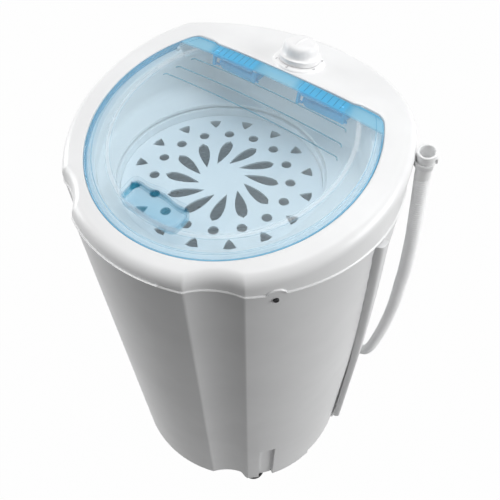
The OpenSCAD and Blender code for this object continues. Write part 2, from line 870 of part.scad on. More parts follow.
module timer_body() {
  color(grey) on_panel() translate([0, 0, -wall - seat_gap]) difference() {
    union() {
      translate([0, 0, -26]) cylinder(r = 15, h = 26, $fn = 64);
      cylinder(r = 5, h = wall + seat_gap, $fn = small);
    }
    translate([0, 0, -22]) cylinder(r = 3 + running_gap, h = 40, $fn = small);
  }
}

module timer_shaft() {
  color(steel) on_panel() translate([0, 0, -wall - 20]) cylinder(r = 3, h = wall + 20 + 14, $fn = small);
}

module timer_knob() {
  color(white) on_panel() translate([0, 0, dial_h + 0.5]) difference() {
    union() {
      cylinder(r1 = knob_skirt_r, r2 = knob_skirt_r - 1, h = 4);
      cylinder(r1 = knob_r + 0.6, r2 = knob_r - 0.6, h = knob_h - 4);
      translate([0, 0, knob_h - 4]) cylinder(r1 = knob_r - 0.6, r2 = knob_r - 4, h = 2.5);
    }
    translate([0, 0, -1]) cylinder(r = 3.02, h = 13, $fn = small);
    translate([0, 0, -eps]) ring(knob_r - 4, 7, 8);
  }
}

plunger_r = 2;
switch_h = 23.3;
switch_y = 70;
switch_x = -sqrt(pow(lid_r - 5.7, 2) - pow(switch_y + lid_ahead, 2));

// Upright axis of the lid switch, under the lid's rim at the left rear
module switch_at() {
  translate([switch_x, switch_y, deck_top(switch_y)]) children();
}

module lid_switch() {
  color(dark) switch_at() translate([0, 0, -ledge_drop - wall - 1]) difference() {
    translate([-9, -8, -switch_h - 0.7]) cube([14, 12.5, switch_h]);
    translate([0, 0, -switch_h + 4.3]) cylinder(r = plunger_r + running_gap, h = 40, $fn = small);
    translate(-[switch_x, switch_y, 0] - [0, 0, 200]) linear_extrude(far) well_outline(wall + seat_gap);
  }
}

module switch_plunger() {
  top = -lid_t - seat_gap - plunger_r * tan(deck_tilt) - 0.2;
  color(white) switch_at() translate([0, 0, top - 24]) cylinder(r = plunger_r, h = 24, $fn = small);
}

capacitor_r = 19;
capacitor_h = 62;
capacitor_angle = 142;

module at_capacitor() {
  rotate(capacitor_angle) translate([foot_ring_r - capacitor_r - 7.4, 0, base_z + base_t])
    rotate(-capacitor_angle) children();
}

module capacitor() {
  color(grey) at_capacitor() cylinder(r = capacitor_r, h = capacitor_h, $fn = 64);
}

module capacitor_strap() {
  color(steel) at_capacitor() {
    translate([0, 0, 22]) ring(capacitor_r + 1.3, capacitor_r + 0.1, 12, $fn = 64);
    for (side = [-1, 1]) translate([side * (capacitor_r + 1) - (side > 0 ? 0 : 9), -6, 0]) difference() {
      union() {
        cube([9, 12, 1.2]);
        translate([side > 0 ? 0 : 7.8, 0, 0]) cube([1.2, 12, 30]);
      }
      translate([4.5, 6, -1]) cylinder(r = screw_r + 0.02, h = 4, $fn = small);
    }
  }
}

gland_z = 88;
gland_angle = 108;

module cord_path(grow) {
  rotate([0, 0, gland_angle]) translate([150, 0, gland_z]) rotate([0, 90, 0])
    cylinder(r = 8 + grow, h = 100, $fn = 48);
}

// Gland that the mains lead enters by
module cord_gland() {
  r_wall = rear_radius(gland_z);
  color(black) difference() {
    union() {
      intersection() {
        cord_path(0);
        cylinder(r = r_wall + 1, h = far);
      }
      difference() {
        rotate([0, 0, gland_angle]) translate([r_wall - 2, 0, gland_z]) rotate([0, 90, 0])
          cylinder(r1 = 11, r2 = 8, h = 10, $fn = 48);
        rear_tapered(0, skirt_z, -0.05);
      }
    }
    cylinder(r = r_wall - wall - panel_t - 8, h = far);
    rotate([0, 0, gland_angle]) translate([100, 0, gland_z]) rotate([0, 90, 0])
      cylinder(r = 4.2, h = 150, $fn = small);
  }
}

drain_x = 40;
drain_y = 100;
drain_z = 70;
outlet_y = rear_base_r - 12;
outlet_end = 92;

// Path of the drain: down from the tub's floor, back through the wall and off to the right
module drain_path(grow) {
  r = hose_r + grow;
  translate([drain_x, drain_y, drain_z]) cylinder(r = r, h = tub_z - drain_z, $fn = 48);
  translate([drain_x, drain_y, drain_z]) sphere(r = r, $fn = 48);
  translate([drain_x, drain_y, drain_z]) rotate([-90, 0, 0]) cylinder(r = r, h = outlet_y - drain_y, $fn = 48);
  translate([drain_x, outlet_y, drain_z]) sphere(r = r, $fn = 48);
  translate([drain_x, outlet_y, drain_z]) rotate([0, 90, 0]) cylinder(r = r, h = outlet_end - drain_x, $fn = 48);
}

module drain_outlet() {
  color(grey) difference() {
    drain_path(0);
    translate([outlet_end - 30, outlet_y, drain_z]) rotate([0, 90, 0]) cylinder(r = hose_bore_r, h = 60, $fn = 48);
    translate([drain_x, drain_y, drain_z + 20]) cylinder(r = hose_bore_r, h = tub_z, $fn = 48);
  }
}

module rear_cover() {
  color(white) difference() {
    union() {
      rear_tapered(rear_bottom_z, rear_front_z, 0);
      // Rib along each front edge
      intersection() {
        rear_tapered(rear_bottom_z, rear_front_z, -rib_out);
        front_zone(seat_gap + rib_w);
      }
    }
    rear_tapered(rear_bottom_z - 1, rear_front_z + 1, wall);
    front_zone(seat_gap);
    drain_path(2);
    cord_path(0.2);
    rear_screw_holes();
    // Way for a driver to the rear pair of the cover's screws
    both_sides(screw_angle, 90) translate([body_r - 20, 0, screw_z]) rotate([0, 90, 0])
      cylinder(r = screw_head_r + 0.6, h = 40, $fn = small);
  }
}

module rear_screw_holes() {
  for (z = rear_screw_heights, side = [-1, 1]) rear_screw_at(side, z)
    translate([0, 0, -20]) cylinder(r = screw_r + 0.02, h = 40, $fn = small);
}

rear_screw_heights = [95, 340, 590];

// Axis of one screw of the rear cover, square to the wall
module rear_screw_at(side, z) {
  rotate([0, 0, 90 + side * 56]) translate([rear_radius(z), 0, z]) rotate([0, 90 + atan(rear_taper), 0]) children();
}

module screw() {
  cylinder(r = screw_head_r, h = 2.2, $fn = small);
  translate([0, 0, -screw_l]) cylinder(r = screw_r, h = screw_l + eps, $fn = small);
}

module rear_cover_screws() {
  color(steel) for (z = rear_screw_heights, side = [-1, 1]) rear_screw_at(side, z) translate([0, 0, 0.05]) screw();
}

module cover_screws() {
  color(steel) for (facing = [-90, 90]) both_sides(screw_angle, facing)
    translate([(facing > 0 ? rear_radius(screw_z) - panel_t : body_radius(screw_z)) + 0.1, 0, screw_z])
      rotate([0, 90, 0]) screw();
}

module bracket_screws() {
  color(steel) for (side = [-1, 1], end = [-1, 1])
    translate([side * knuckle_x + end * 20, well_back + wall, axle_z - 18]) rotate([-90, 0, 0]) {
      translate([0, 0, 0.05]) cylinder(r = screw_head_r, h = 2.2, $fn = small);
    }
}

module base_screws() {
  color(steel) for (facing = [-90, 90]) both_sides(foot_angle, facing)
    translate([foot_ring_r - 6, 0, base_z + base_t]) screw();
}

// Centre line of the drain hose, from the outlet round the rear and up the right side
hose_route = [[outlet_end, outlet_y, drain_z], [outlet_end + 20, outlet_y, drain_z],
  [outlet_end + 40, outlet_y - 1, 73], [body_r - 60, outlet_y - 6, 82], [body_r - 42, outlet_y - 14, 98],
  [body_r - 28, 170, 122], [body_r - 19, 166, 155], [body_r - 14, 164, 190], [body_r - 8, 161, 240],
  [body_r - 3, 154, 300], [body_r + 1, 142, 360], [body_r + 3, 130, 419], [body_r + 5, 120, 465],
  [body_r + 5, 112, 510], [body_r + 4, 106, 550], [body_r + 1, 102, 592], [body_r - 3, 100, skirt_z - 15],
  [body_r - 6.2, 97.6, skirt_z + 19], [body_r - 6.2, 93.2, skirt_z + 39]];
// Centre line of the brake's cable, from the lever up to the hinge
cable_route = [[58.6, -56, 184], [90, -56, 184], [130, -50, 184], [160, -40, 188], [cable_x - 8, -20, 205],
  [cable_x - 3, 0, 240], [cable_x - 1, 10, 320], [cable_x - 1, 14, 420], [cable_x, 16, 520],
  [cable_x, 20, 590], [cable_x, cable_y, flange_z], [cable_x, 24, throat_z], [well_r + 11, 42, 672],
  [well_r - 5, 72, 684], [136, well_back, 690], [110, well_back + 12, 694], [99, well_back + 10, 695],
  [99, well_back + 3.6, 695]];

function unit(v) = v / norm(v);
// A smooth point between route points b and c, at a share t of the way
function spline(a, b, c, d, t) = 0.5 * (2 * b + (c - a) * t + (2 * a - 5 * b + 4 * c - d) * t * t
  + (3 * b - a - 3 * c + d) * t * t * t);
function route_point(route, s) = let (n = len(route) - 1, i = min(floor(s), n - 1))
  spline(i == 0 ? 2 * route[0] - route[1] : route[i - 1], route[i], route[i + 1],
    i + 2 > n ? 2 * route[n] - route[n - 1] : route[i + 2], s - i);
function route_way(route, s) = let (n = len(route) - 1)
  s < 0.02 ? unit(route[1] - route[0]) : s > n - 0.02 ? unit(route[n] - route[n - 1])
  : unit(route_point(route, s + 0.01) - route_point(route, s - 0.01));
// One ring of a swept tube: points square to the route, counted from the X-ward side
function tube_ring(route, s, r, sides) = let (p = route_point(route, s), w = route_way(route, s),
  u = unit(cross([0.2, 1, 0.35], w)), v = cross(w, u))
  [for (k = [0 : sides - 1]) p + r * (cos(360 * k / sides) * u + sin(360 * k / sides) * v)];
// Strip of triangles between rings a and b, whose first points are given
function strip(a, b, sides) = [for (k = [0 : sides - 1]) let (m = (k + 1) % sides)
  each [[a + k, a + m, b + m], [a + k, b + m, b + k]]];

// Solid or hollow tube along a route, with a ring at each share of the route in stations
module swept_tube(route, stations, radii, bore_stations, bore_r, sides) {
  n = len(route) - 1;
  outer = [for (i = [0 : len(stations) - 1]) each tube_ring(route, stations[i] * n, radii[i], sides)];
  inner = [for (s = bore_stations) each tube_ring(route, s * n, bore_r, sides)];
  count = len(stations);
  first_inner = count * sides;
  last_inner = first_inner + (len(bore_stations) - 1) * sides;
  faces = [
    for (i = [0 : count - 2]) each strip((i + 1) * sides, i * sides, sides),
    for (i = [0 : len(bore_stations) - 2])
      each strip(first_inner + i * sides, first_inner + (i + 1) * sides, sides),
    each strip(0, first_inner, sides),
    each strip(last_inner, (count - 1) * sides, sides)
  ];
  polyhedron(concat(outer, inner), faces);
}

module rod_tube(route, count, r, sides) {
  n = len(route) - 1;
  rings = [for (i = [0 : count]) each tube_ring(route, n * i / count, r, sides)];
  faces = [
    for (i = [0 : count - 1]) each strip((i + 1) * sides, i * sides, sides),
    [for (k = [0 : sides - 1]) k],
    [for (k = [sides - 1 : -1 : 0]) count * sides + k]
  ];
  polyhedron(rings, faces);
}

// Ribs leave the first and the last diameter of the hose plain
rib_valley = 1.3;
rib_from = 0.055;
rib_to = 0.955;
rib_step = (rib_to - rib_from) / rib_count;
hose_stations = concat([0, rib_from], [for (i = [0 : rib_count - 1]) each
  [rib_from + (i + 0.3) * rib_step, rib_from + (i + 0.8) * rib_step]], [rib_to, 1]);
hose_radii = concat([hose_r, hose_r], [for (i = [0 : rib_count - 1]) each
  [hose_r - rib_valley, hose_r]], [hose_r, hose_r]);

module drain_hose() {
  color(grey) swept_tube(hose_route, hose_stations, hose_radii, [for (i = [0 : 54]) i / 54], hose_bore_r, 8);
}

hose_end = hose_route[len(hose_route) - 1];
hose_end_way = unit(hose_end - hose_route[len(hose_route) - 2]);
cuff_lean = atan2(-hose_end_way[1], hose_end_way[2]);

module at_cuff() { translate(hose_end) rotate([cuff_lean, 0, 0]) children(); }

module hose_cuff() {
  color(grey) at_cuff() difference() {
    union() {
      cylinder(r = cuff_r - 0.8, h = cuff_l, $fn = 48);
      translate([0, 0, cuff_l - 9]) cylinder(r = cuff_r, h = 9, $fn = 48);
    }
    translate([0, 0, -1]) cylinder(r = hose_bore_r, h = cuff_l + 2, $fn = 48);
  }
}

// Clip on the cover's side that holds the hose under its cuff
module hose_clip() {
  color(white) difference() {
    at_cuff() union() {
      translate([0, 0, 5]) cylinder(r = cuff_r + 2, h = 8, $fn = 48);
    }
    at_cuff() translate([0, 0, -10]) cylinder(r = cuff_r - 0.8 + seat_gap, h = 60, $fn = 48);
    cylinder(r = body_r + 0.05, h = 2 * far);
    at_cuff() translate([cuff_r * 0.55, -4, 0]) cube([2 * cuff_r, 8, 40]);
  }
}

module brake_cable() {
  color(black) rod_tube(cable_route, 60, 1.5, 8);
}

cabinet();
rear_cover();
top_cover();
lid();
lid_grip();
hinge_pin(-1);  // hinge_pin_left
hinge_pin(1);  // hinge_pin_right
hinge_bracket(-1);  // hinge_bracket_left
hinge_bracket(1);  // hinge_bracket_right
inner_cover();
basket_wall();
basket_base();
basket_rim();
basket_nut();
outer_tub();
shaft_seal();
drive_shaft();
motor_case();
motor_bracket(case_top_z);  // motor_top_bracket
motor_bracket(motor_z);  // motor_bottom_bracket
motor_rotor();
bearing(case_top_z);  // bearing_upper
bearing(motor_z);  // bearing_lower
motor_plate();
motor_spring(0);  // motor_spring_1
motor_spring(1);  // motor_spring_2
motor_spring(2);  // motor_spring_3
spring_bushes();
base_plate();
foot(-90 - foot_angle);  // foot_front_left
foot(-90 + foot_angle);  // foot_front_right
foot(90 + foot_angle);  // foot_rear_left
foot(90 - foot_angle);  // foot_rear_right
brake_drum();
brake_lever();
brake_shoe();
brake_pivot();
brake_cable();
timer_body();
timer_shaft();
timer_knob();
dial_ring();
lid_switch();
switch_plunger();
capacitor();
capacitor_strap();
cord_gland();
drain_outlet();
drain_hose();
hose_cuff();
hose_clip();
cover_screws();
rear_cover_screws();
bracket_screws();
base_screws();
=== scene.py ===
"""A free-standing laundry spin dryer: tapered white cabinet, see-through blue lid over the
basket, timer knob behind the lid and a ribbed drain hose clipped up at the right side.

Lengths in the shape functions are millimetres; `piece` turns them to metres. The frame is the
model's own: +Z up, the front faces -Y, the origin on the floor under the middle of the cabinet.
"""
import math

import bmesh
import bpy
import numpy as np
from mathutils import Matrix


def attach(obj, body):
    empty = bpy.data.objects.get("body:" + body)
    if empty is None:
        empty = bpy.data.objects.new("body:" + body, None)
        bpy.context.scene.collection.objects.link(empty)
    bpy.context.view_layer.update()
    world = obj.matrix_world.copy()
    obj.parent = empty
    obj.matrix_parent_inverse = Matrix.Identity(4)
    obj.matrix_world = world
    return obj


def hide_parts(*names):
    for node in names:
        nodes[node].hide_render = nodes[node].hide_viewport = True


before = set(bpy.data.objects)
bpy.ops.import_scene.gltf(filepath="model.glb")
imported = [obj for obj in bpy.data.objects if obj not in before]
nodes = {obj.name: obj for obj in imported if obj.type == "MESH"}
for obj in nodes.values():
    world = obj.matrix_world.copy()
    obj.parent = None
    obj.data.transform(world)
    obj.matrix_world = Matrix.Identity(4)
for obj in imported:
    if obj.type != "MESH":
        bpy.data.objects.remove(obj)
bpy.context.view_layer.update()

# ---- sizes, as in the part's source
BODY_R, BASE_R, REAR_BASE_R = 212.0, 196.0, 204.0
SKIRT_Z, HEM_Z, SIDE_HEM_Z, LOBE_Z = 647.0, 35.0, 26.0, 12.0
WALL, PANEL_T = 3.0, 3.3
FLUTE_ANGLE, FLUTE_R, FLUTE_DEPTH = 32.4, 85.0, 8.8
LOBE_FROM, LOBE_TO = 41.0, 79.5
CHANNEL_ANGLE, CHANNEL_W, CHANNEL_TOP = 52.0, 26.0, 153.0
DECK_Z, DECK_TILT, DOME_H, DOME_R = 703.0, math.radians(10.5), 9.0, 176.0
PANEL_Z, PANEL_TILT = 741.5, math.radians(9.1)
RIM_W, RIM_H = 13.0, 15.0
LID_R, LID_AHEAD, LID_BACK, LID_CORNER = 177.0, 8.0, 94.0, 18.0
LID_GAP, LID_REAR_GAP, LID_T, LID_RIM = 0.7, 2.0, 2.4, 7.7
CORNER_LEDGE_Z, LIP_R = 700.5, 129.5
SHOULDER, SHOULDER_X = 3.0, 106.0
HINGE_Y, HINGE_DROP, KNUCKLE_X, KNUCKLE_L = 84.0, 7.8, 67.0, 60.0
DRUM_Y, THROAT_Z, WELL_R, WELL_BACK, WELL_CORNER = -28.0, 652.0, 165.0, 108.0, 14.0
SCREW_ANGLE, SCREW_Z, ARCH_R, ARCH_Z = 50.3, 638.0, 12.5, 642.0
KNOB_Y, DIAL_R, DIAL_H, KNOB_R, KNOB_SKIRT_R, KNOB_H = 131.0, 33.0, 3.0, 23.0, 26.6, 26.5
RIB_W, RIB_OUT = 18.0, 8.0
COVER_T, POCKET_DEPTH = 2.4, 14.0
FOOT_R, FOOT_H, FOOT_ANGLE = 20.0, 11.0, 46.0
HOSE_R, HOSE_BORE_R, HOSE_RIBS = 9.5, 7.0, 168
HOSE_ROUTE = np.array([
    [92, 192, 70], [112, 192, 70], [132, 191, 73], [152, 186, 82], [170, 178, 98], [184, 170, 122],
    [193, 166, 155], [198, 164, 190], [204, 161, 240], [209, 154, 300], [213, 142, 360],
    [215, 130, 419], [217, 120, 465], [217, 112, 510], [216, 106, 550], [213, 102, 592],
    [209, 100, 632], [205.8, 97.6, 666], [205.8, 93.2, 686]], float)


# ---- meshes from arrays
def weave(rows, cols, ring=False, start=0):
    """Quads of a grid of points: each joins a point, its neighbour along the row, and the two
    points under them; `ring` joins the row's last point to its first."""
    index = start + np.arange(rows * cols).reshape(rows, cols)
    if ring:
        index = np.concatenate([index, index[:, :1]], axis=1)
    return np.stack([index[:-1, :-1], index[:-1, 1:], index[1:, 1:], index[1:, :-1]], -1).reshape(-1, 4)


def piece(name, points, faces, material, body, stands_for=(), sharp=35, turn=False):
    """Mesh object from millimetre points and lists of faces, shaded smooth but for edges that
    turn by more than `sharp` degrees. All faces are made to point outwards; `turn` lists their
    corners in reverse before that, which splits the quads along their other diagonal."""
    mesh = bpy.data.meshes.new(name)
    corners = [f[::-1] if turn else f for block in faces for f in np.asarray(block).tolist()]
    mesh.from_pydata((np.asarray(points, float).reshape(-1, 3) / 1000).tolist(), [], corners)
    mesh.validate()
    solid = bmesh.new()
    solid.from_mesh(mesh)
    bmesh.ops.recalc_face_normals(solid, faces=solid.faces)
    solid.to_mesh(mesh)
    solid.free()
    mesh.polygons.foreach_set("use_smooth", np.ones(len(mesh.polygons), bool))
    mesh.set_sharp_from_angle(angle=math.radians(sharp))
    mesh.materials.append(material)
    made = bpy.data.objects.new(name, mesh)
    bpy.context.scene.collection.objects.link(made)
    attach(made, body)
    if stands_for:
        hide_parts(*stands_for)
    return made


def closed_shell(outer, inner, ring=True):
    """Points and faces of a wall between two grids of the same size: the outer skin, the inner
    skin turned round, and strips that join their borders."""
    rows, cols = outer.shape[:2]
    n = rows * cols
    points = np.concatenate([outer.reshape(-1, 3), inner.reshape(-1, 3)])
    faces = [weave(rows, cols, ring), weave(rows, cols, ring, n)[:, ::-1]]
    across = np.arange(cols + 1) % cols if ring else np.arange(cols)
    for row, step in ((0, 1), (rows - 1, -1)):
        edge = row * cols + across
        strip = np.stack([edge[:-1], n + edge[:-1], n + edge[1:], edge[1:]], -1)
        faces.append(strip if step > 0 else strip[:, ::-1])
    if not ring:
        down = np.arange(rows) * cols
        for col, step in ((0, -1), (cols - 1, 1)):
            edge = down + col
            strip = np.stack([edge[:-1], n + edge[:-1], n + edge[1:], edge[1:]], -1)
            faces.append(strip if step > 0 else strip[:, ::-1])
    return points, faces


def grid_normals(grid, ring=True):
    """Unit normal at each point of a grid: the cross product of its steps along the row and
    down the column, with the ends of a ring joined."""
    if ring:
        along = np.roll(grid, -1, 1) - np.roll(grid, 1, 1)
    else:
        along = np.gradient(grid, axis=1)
    down = np.gradient(grid, axis=0)
    normal = np.cross(along, down)
    return normal / np.maximum(np.linalg.norm(normal, axis=-1, keepdims=True), 1e-9)


def smooth_least(a, b, width):
    """The smaller of a and b, with the corner where they cross rounded over a width."""
    share = np.clip(0.5 + 0.5 * (b - a) / width, 0, 1)
    return b + (a - b) * share - width * share * (1 - share)


def ramp(x, low, high):
    """0 below low, 1 above high, and 3t^2 - 2t^3 between them."""
    t = np.clip((x - low) / (high - low), 0, 1)
    return t * t * (3 - 2 * t)


# ---- the body's outlines
def body_radius(z):
    return BASE_R + (BODY_R - BASE_R) / (SKIRT_Z - LOBE_Z) * (z - LOBE_Z)


def rear_radius(z):
    return REAR_BASE_R + (BODY_R - REAR_BASE_R) / (SKIRT_Z - LOBE_Z) * (z - LOBE_Z)


def wrap(angle):
    """An angle in degrees brought between -180 and 180."""
    return (angle + 180) % 360 - 180


def fluted(angle, radius, soft=1.2):
    """Radius of the round body where two upright hollows are cut in it. A hollow is a cylinder
    that stands outside the wall: along a ray at an angle p from its middle it is met at
    A cos p - sqrt(F^2 - A^2 sin^2 p), and the nearer of that and the round wall is taken."""
    out = np.broadcast_to(np.asarray(radius, float), np.broadcast(angle, radius).shape)
    for side in (-1, 1):
        p = np.radians(wrap(angle + 90 - side * FLUTE_ANGLE))
        axis = radius + FLUTE_R - FLUTE_DEPTH
        under = FLUTE_R ** 2 - (axis * np.sin(p)) ** 2
        met = np.where((under > 0) & (np.cos(p) > 0), axis * np.cos(p) - np.sqrt(np.maximum(under, 0)), 1e4)
        out = smooth_least(out, met, soft)
    return out


def edge_y(z):
    """Distance of the rear cover's bent front edge behind the body axis, at a height."""
    return np.minimum(-15.7 + (646 - z) * math.tan(math.radians(8.9)),
                      47 + (240 - z) * math.tan(math.radians(1.7)))


def from_front(angle):
    """Angle from the front or the rear, whichever is nearer."""
    a = np.abs(wrap(angle + 90))
    return np.minimum(a, 180 - a)


def hem(angle):
    """Height of the cabinet's lower edge: raised at the front and rear, lower at the sides,
    lowest on the lobes over the feet."""
    a = from_front(angle)
    front = HEM_Z + (LOBE_Z - HEM_Z) * ramp(a, LOBE_FROM - 3.2, LOBE_FROM + 0.3)
    return front + (SIDE_HEM_Z - LOBE_Z) * ramp(a, LOBE_TO - 0.1, LOBE_TO + 0.3)


def arch(angle, radius):
    """Height of a half-round arch over the skirt line beside each flute, or the skirt line."""
    s = BODY_R * np.radians(from_front(angle) - SCREW_ANGLE)
    rise = ARCH_Z + np.sqrt(np.maximum(radius ** 2 - s ** 2, 0))
    return np.maximum(SKIRT_Z, np.where(np.abs(s) < radius, rise, 0))


def polar(angle, radius, z):
    a = np.radians(angle)
    return np.stack(np.broadcast_arrays(radius * np.cos(a), radius * np.sin(a), z), -1)


def body_angles():
    """Columns round the body: every half degree, with more at the flutes' edges, the hem's
    steps, the channels and the arches."""
    extra = [np.arange(c - w, c + w, step) for c, w, step in (
        (FLUTE_ANGLE - 9, 1.2, 0.1), (FLUTE_ANGLE + 9, 1.2, 0.1), (LOBE_FROM - 1.5, 2.2, 0.2),
        (LOBE_TO + 0.1, 0.5, 0.05), (CHANNEL_ANGLE - 3.8, 0.3, 0.06), (CHANNEL_ANGLE + 3.8, 0.3, 0.06),
        (SCREW_ANGLE, 3.8, 0.15))]
    extra = np.concatenate(extra)
    around = [-90 + extra, -90 - extra, 90 + extra, 90 - extra, np.arange(-180, 180, 0.5)]
    return np.unique(np.round(wrap(np.concatenate(around)), 3))


# ---- the top's heights
def deck_height(x, y):
    """Height of the domed deck: the plane's height plus the dome's h (1 - r^2 / R^2), both
    tilted about the middle of the cabinet."""
    yy = y / math.cos(DECK_TILT)
    for _ in range(3):
        rise = DOME_H * np.maximum(1 - (x ** 2 + yy ** 2) / DOME_R ** 2, 0)
        z = (rise + y * math.sin(DECK_TILT)) / math.cos(DECK_TILT)
        yy = y * math.cos(DECK_TILT) + z * math.sin(DECK_TILT)
    return DECK_Z + z


def deck_plane(y):
    return DECK_Z + y * math.tan(DECK_TILT)


def panel_plane(y):
    return PANEL_Z - y * math.tan(PANEL_TILT)


def top_height(x, y):
    """The lower of the deck and the rear panel, with a soft crest."""
    return smooth_least(deck_height(x, y), panel_plane(y), 1.2)


def knuckle_height():
    return float(deck_height(0.0, HINGE_Y)) - HINGE_DROP


def d_outline(angle, radius, back, corner, ahead=LID_AHEAD, shoulder=0.0):
    """Radius, from its own centre, of a round outline cut straight at the rear, whose two
    corners are rounded: the least of circle and chord, or the far side of the corner's arc.
    Past SHOULDER_X from the middle the chord steps back by the shoulder."""
    a = np.radians(angle)
    back = back + ahead
    across = np.abs(back / np.tan(np.where(np.abs(np.sin(a)) > 0.05, a, 1.0)))
    step = shoulder * ramp(across, SHOULDER_X - 4.5, SHOULDER_X + 4.5)
    chord = np.where(np.sin(a) > 0.05, (back + step) / np.maximum(np.sin(a), 0.05), 1e4)
    r = np.minimum(radius, chord)
    back = back + shoulder
    if corner > 0:
        cy = back - corner
        cx = math.sqrt((radius - corner) ** 2 - cy ** 2)
        for side in (-1, 1):
            along = side * cx * np.cos(a) + cy * np.sin(a)
            off = corner ** 2 - (cx ** 2 + cy ** 2 - along ** 2)
            arc = along + np.sqrt(np.maximum(off, 0))
            low, high = math.atan2(cy, cx), math.pi / 2 - math.atan2(cx, back)
            here = np.where(np.cos(a) * side > 0, np.arcsin(np.clip(np.sin(a), -1, 1)), -9)
            r = np.where((here > low) & (here < high), arc, r)
    return r


def lid_plan(angle, grow=0.0, grow_back=0.0):
    r = d_outline(angle, LID_R + grow, LID_BACK + grow_back, LID_CORNER + grow, shoulder=SHOULDER)
    return circle_plan(angle, r, -LID_AHEAD)


def circle_plan(angle, radius, centre_y=0.0):
    """X and Y at a radius, one value or one per angle, about a centre on the Y axis."""
    a = np.radians(angle)
    return np.stack([radius * np.cos(a), radius * np.sin(a) + centre_y], -1)


def well_plan(angle, grow=0.0):
    return circle_plan(angle, d_outline(angle, WELL_R + grow, WELL_BACK + grow, WELL_CORNER), -LID_AHEAD)


# ---- shader maths
class Field:
    """A value that changes over a surface: one output socket, with arithmetic as Python."""

    def __init__(self, tree, socket):
        self.tree, self.socket = tree, socket

    def make(self, kind, settings=None, out=0, **sockets):
        """Adds a node: its settings first, then the values or links of its sockets."""
        node = self.tree.nodes.new(kind)
        for key, value in (settings or {}).items():
            setattr(node, key, value)
        for key, value in sockets.items():
            socket = node.inputs[int(key[1:])] if key[1:].isdigit() else node.inputs[key.replace("_", " ")]
            if isinstance(value, Field):
                self.tree.links.new(value.socket, socket)
            else:
                socket.default_value = value
        return Field(self.tree, node.outputs[out])

    def math(self, operation, other=None):
        sockets = {"i0": self} if other is None else {"i0": self, "i1": other}
        return self.make("ShaderNodeMath", {"operation": operation}, **sockets)

    def __add__(self, other): return self.math("ADD", other)
    def __sub__(self, other): return self.math("SUBTRACT", other)
    def __rsub__(self, other): return self.make("ShaderNodeMath", {"operation": "SUBTRACT"}, i0=other, i1=self)
    def __mul__(self, other): return self.math("MULTIPLY", other)
    def __abs__(self): return self.math("ABSOLUTE")
    __radd__, __rmul__ = __add__, __mul__
    def __pow__(self, other): return self.math("POWER", other)

    def between(self, low, high):
        """0 at low, 1 at high, smooth between."""
        return self.make("ShaderNodeMapRange", {"interpolation_type": "SMOOTHSTEP"},
                         i0=self, i1=low, i2=high, i3=0.0, i4=1.0)

    def most(self, other): return self.math("MAXIMUM", other)

    def blend(self, colour_a, colour_b):
        """Colour a where this value is 0, colour b where it is 1."""
        rgba = [c if isinstance(c, Field) else (*c, 1.0) for c in (colour_a, colour_b)]
        return self.make("ShaderNodeMix", {"data_type": "RGBA"}, out=2, i0=self, i6=rgba[0], i7=rgba[1])


PLASTIC_IOR = 1.46


class Finish:
    """One material: its Principled shader, and the fields that its patterns start from."""

    def __init__(self, name, colour, roughness=0.4, metallic=0.0, specular=0.5, coat=0.0,
                 coat_roughness=0.05):
        self.material = bpy.data.materials.new(name)
        self.material.use_nodes = True
        self.tree = self.material.node_tree
        self.shader = self.tree.nodes["Principled BSDF"]
        for key, value in (("Base Color", (*colour, 1)), ("Roughness", roughness), ("Metallic", metallic),
                           ("Specular IOR Level", specular), ("Coat Weight", coat),
                           ("Coat Roughness", coat_roughness), ("IOR", PLASTIC_IOR)):
            self.shader.inputs[key].default_value = value
        coords = self.tree.nodes.new("ShaderNodeTexCoord")
        self.place = Field(self.tree, coords.outputs["Object"])
        self.material.diffuse_color = (*colour, 1)

    def axis(self, which):
        """X, Y or Z of the place on the object, in metres."""
        return self.place.make("ShaderNodeSeparateXYZ", out="XYZ".index(which), i0=self.place)

    def noise(self, scale, detail=3.0, rough=0.5, stretch=(1, 1, 1)):
        at = self.place.make("ShaderNodeMapping", i0=self.place, i3=stretch) if stretch != (1, 1, 1) else self.place
        return self.place.make("ShaderNodeTexNoise", Vector=at, Scale=scale, Detail=detail, Roughness=rough)

    def feed(self, socket, field):
        self.tree.links.new(field.socket, self.shader.inputs[socket])
        return self

    def bump(self, height, strength=0.2, distance=0.0003):
        normal = self.place.make("ShaderNodeBump", Height=height, Strength=strength, Distance=distance)
        return self.feed("Normal", normal)


def lighter(colour, factor):
    return tuple(min(c * factor, 1.0) for c in colour)


def moulded(name, colour, roughness, coat=0.0, grain=900, grain_strength=0.04, drift=0.03, dust=0.05, specular=0.5):
    """Injection-moulded plastic: faint cloudiness in its colour, a fine pebble in its skin, and
    handling marks that dull its gloss in patches."""
    finish = Finish(name, colour, roughness, coat=coat, specular=specular)
    cloud = finish.noise(7.0, 4.0, 0.55).between(0.35, 0.7)
    finish.feed("Base Color", cloud.blend(lighter(colour, 1 - drift), lighter(colour, 1 + drift)))
    rub = finish.noise(26.0, 5.0, 0.6).between(0.45, 0.75)
    finish.feed("Roughness", rub * dust + (roughness - dust / 2))
    finish.bump(finish.noise(grain, 2.0, 0.5), grain_strength, 0.00015)
    return finish


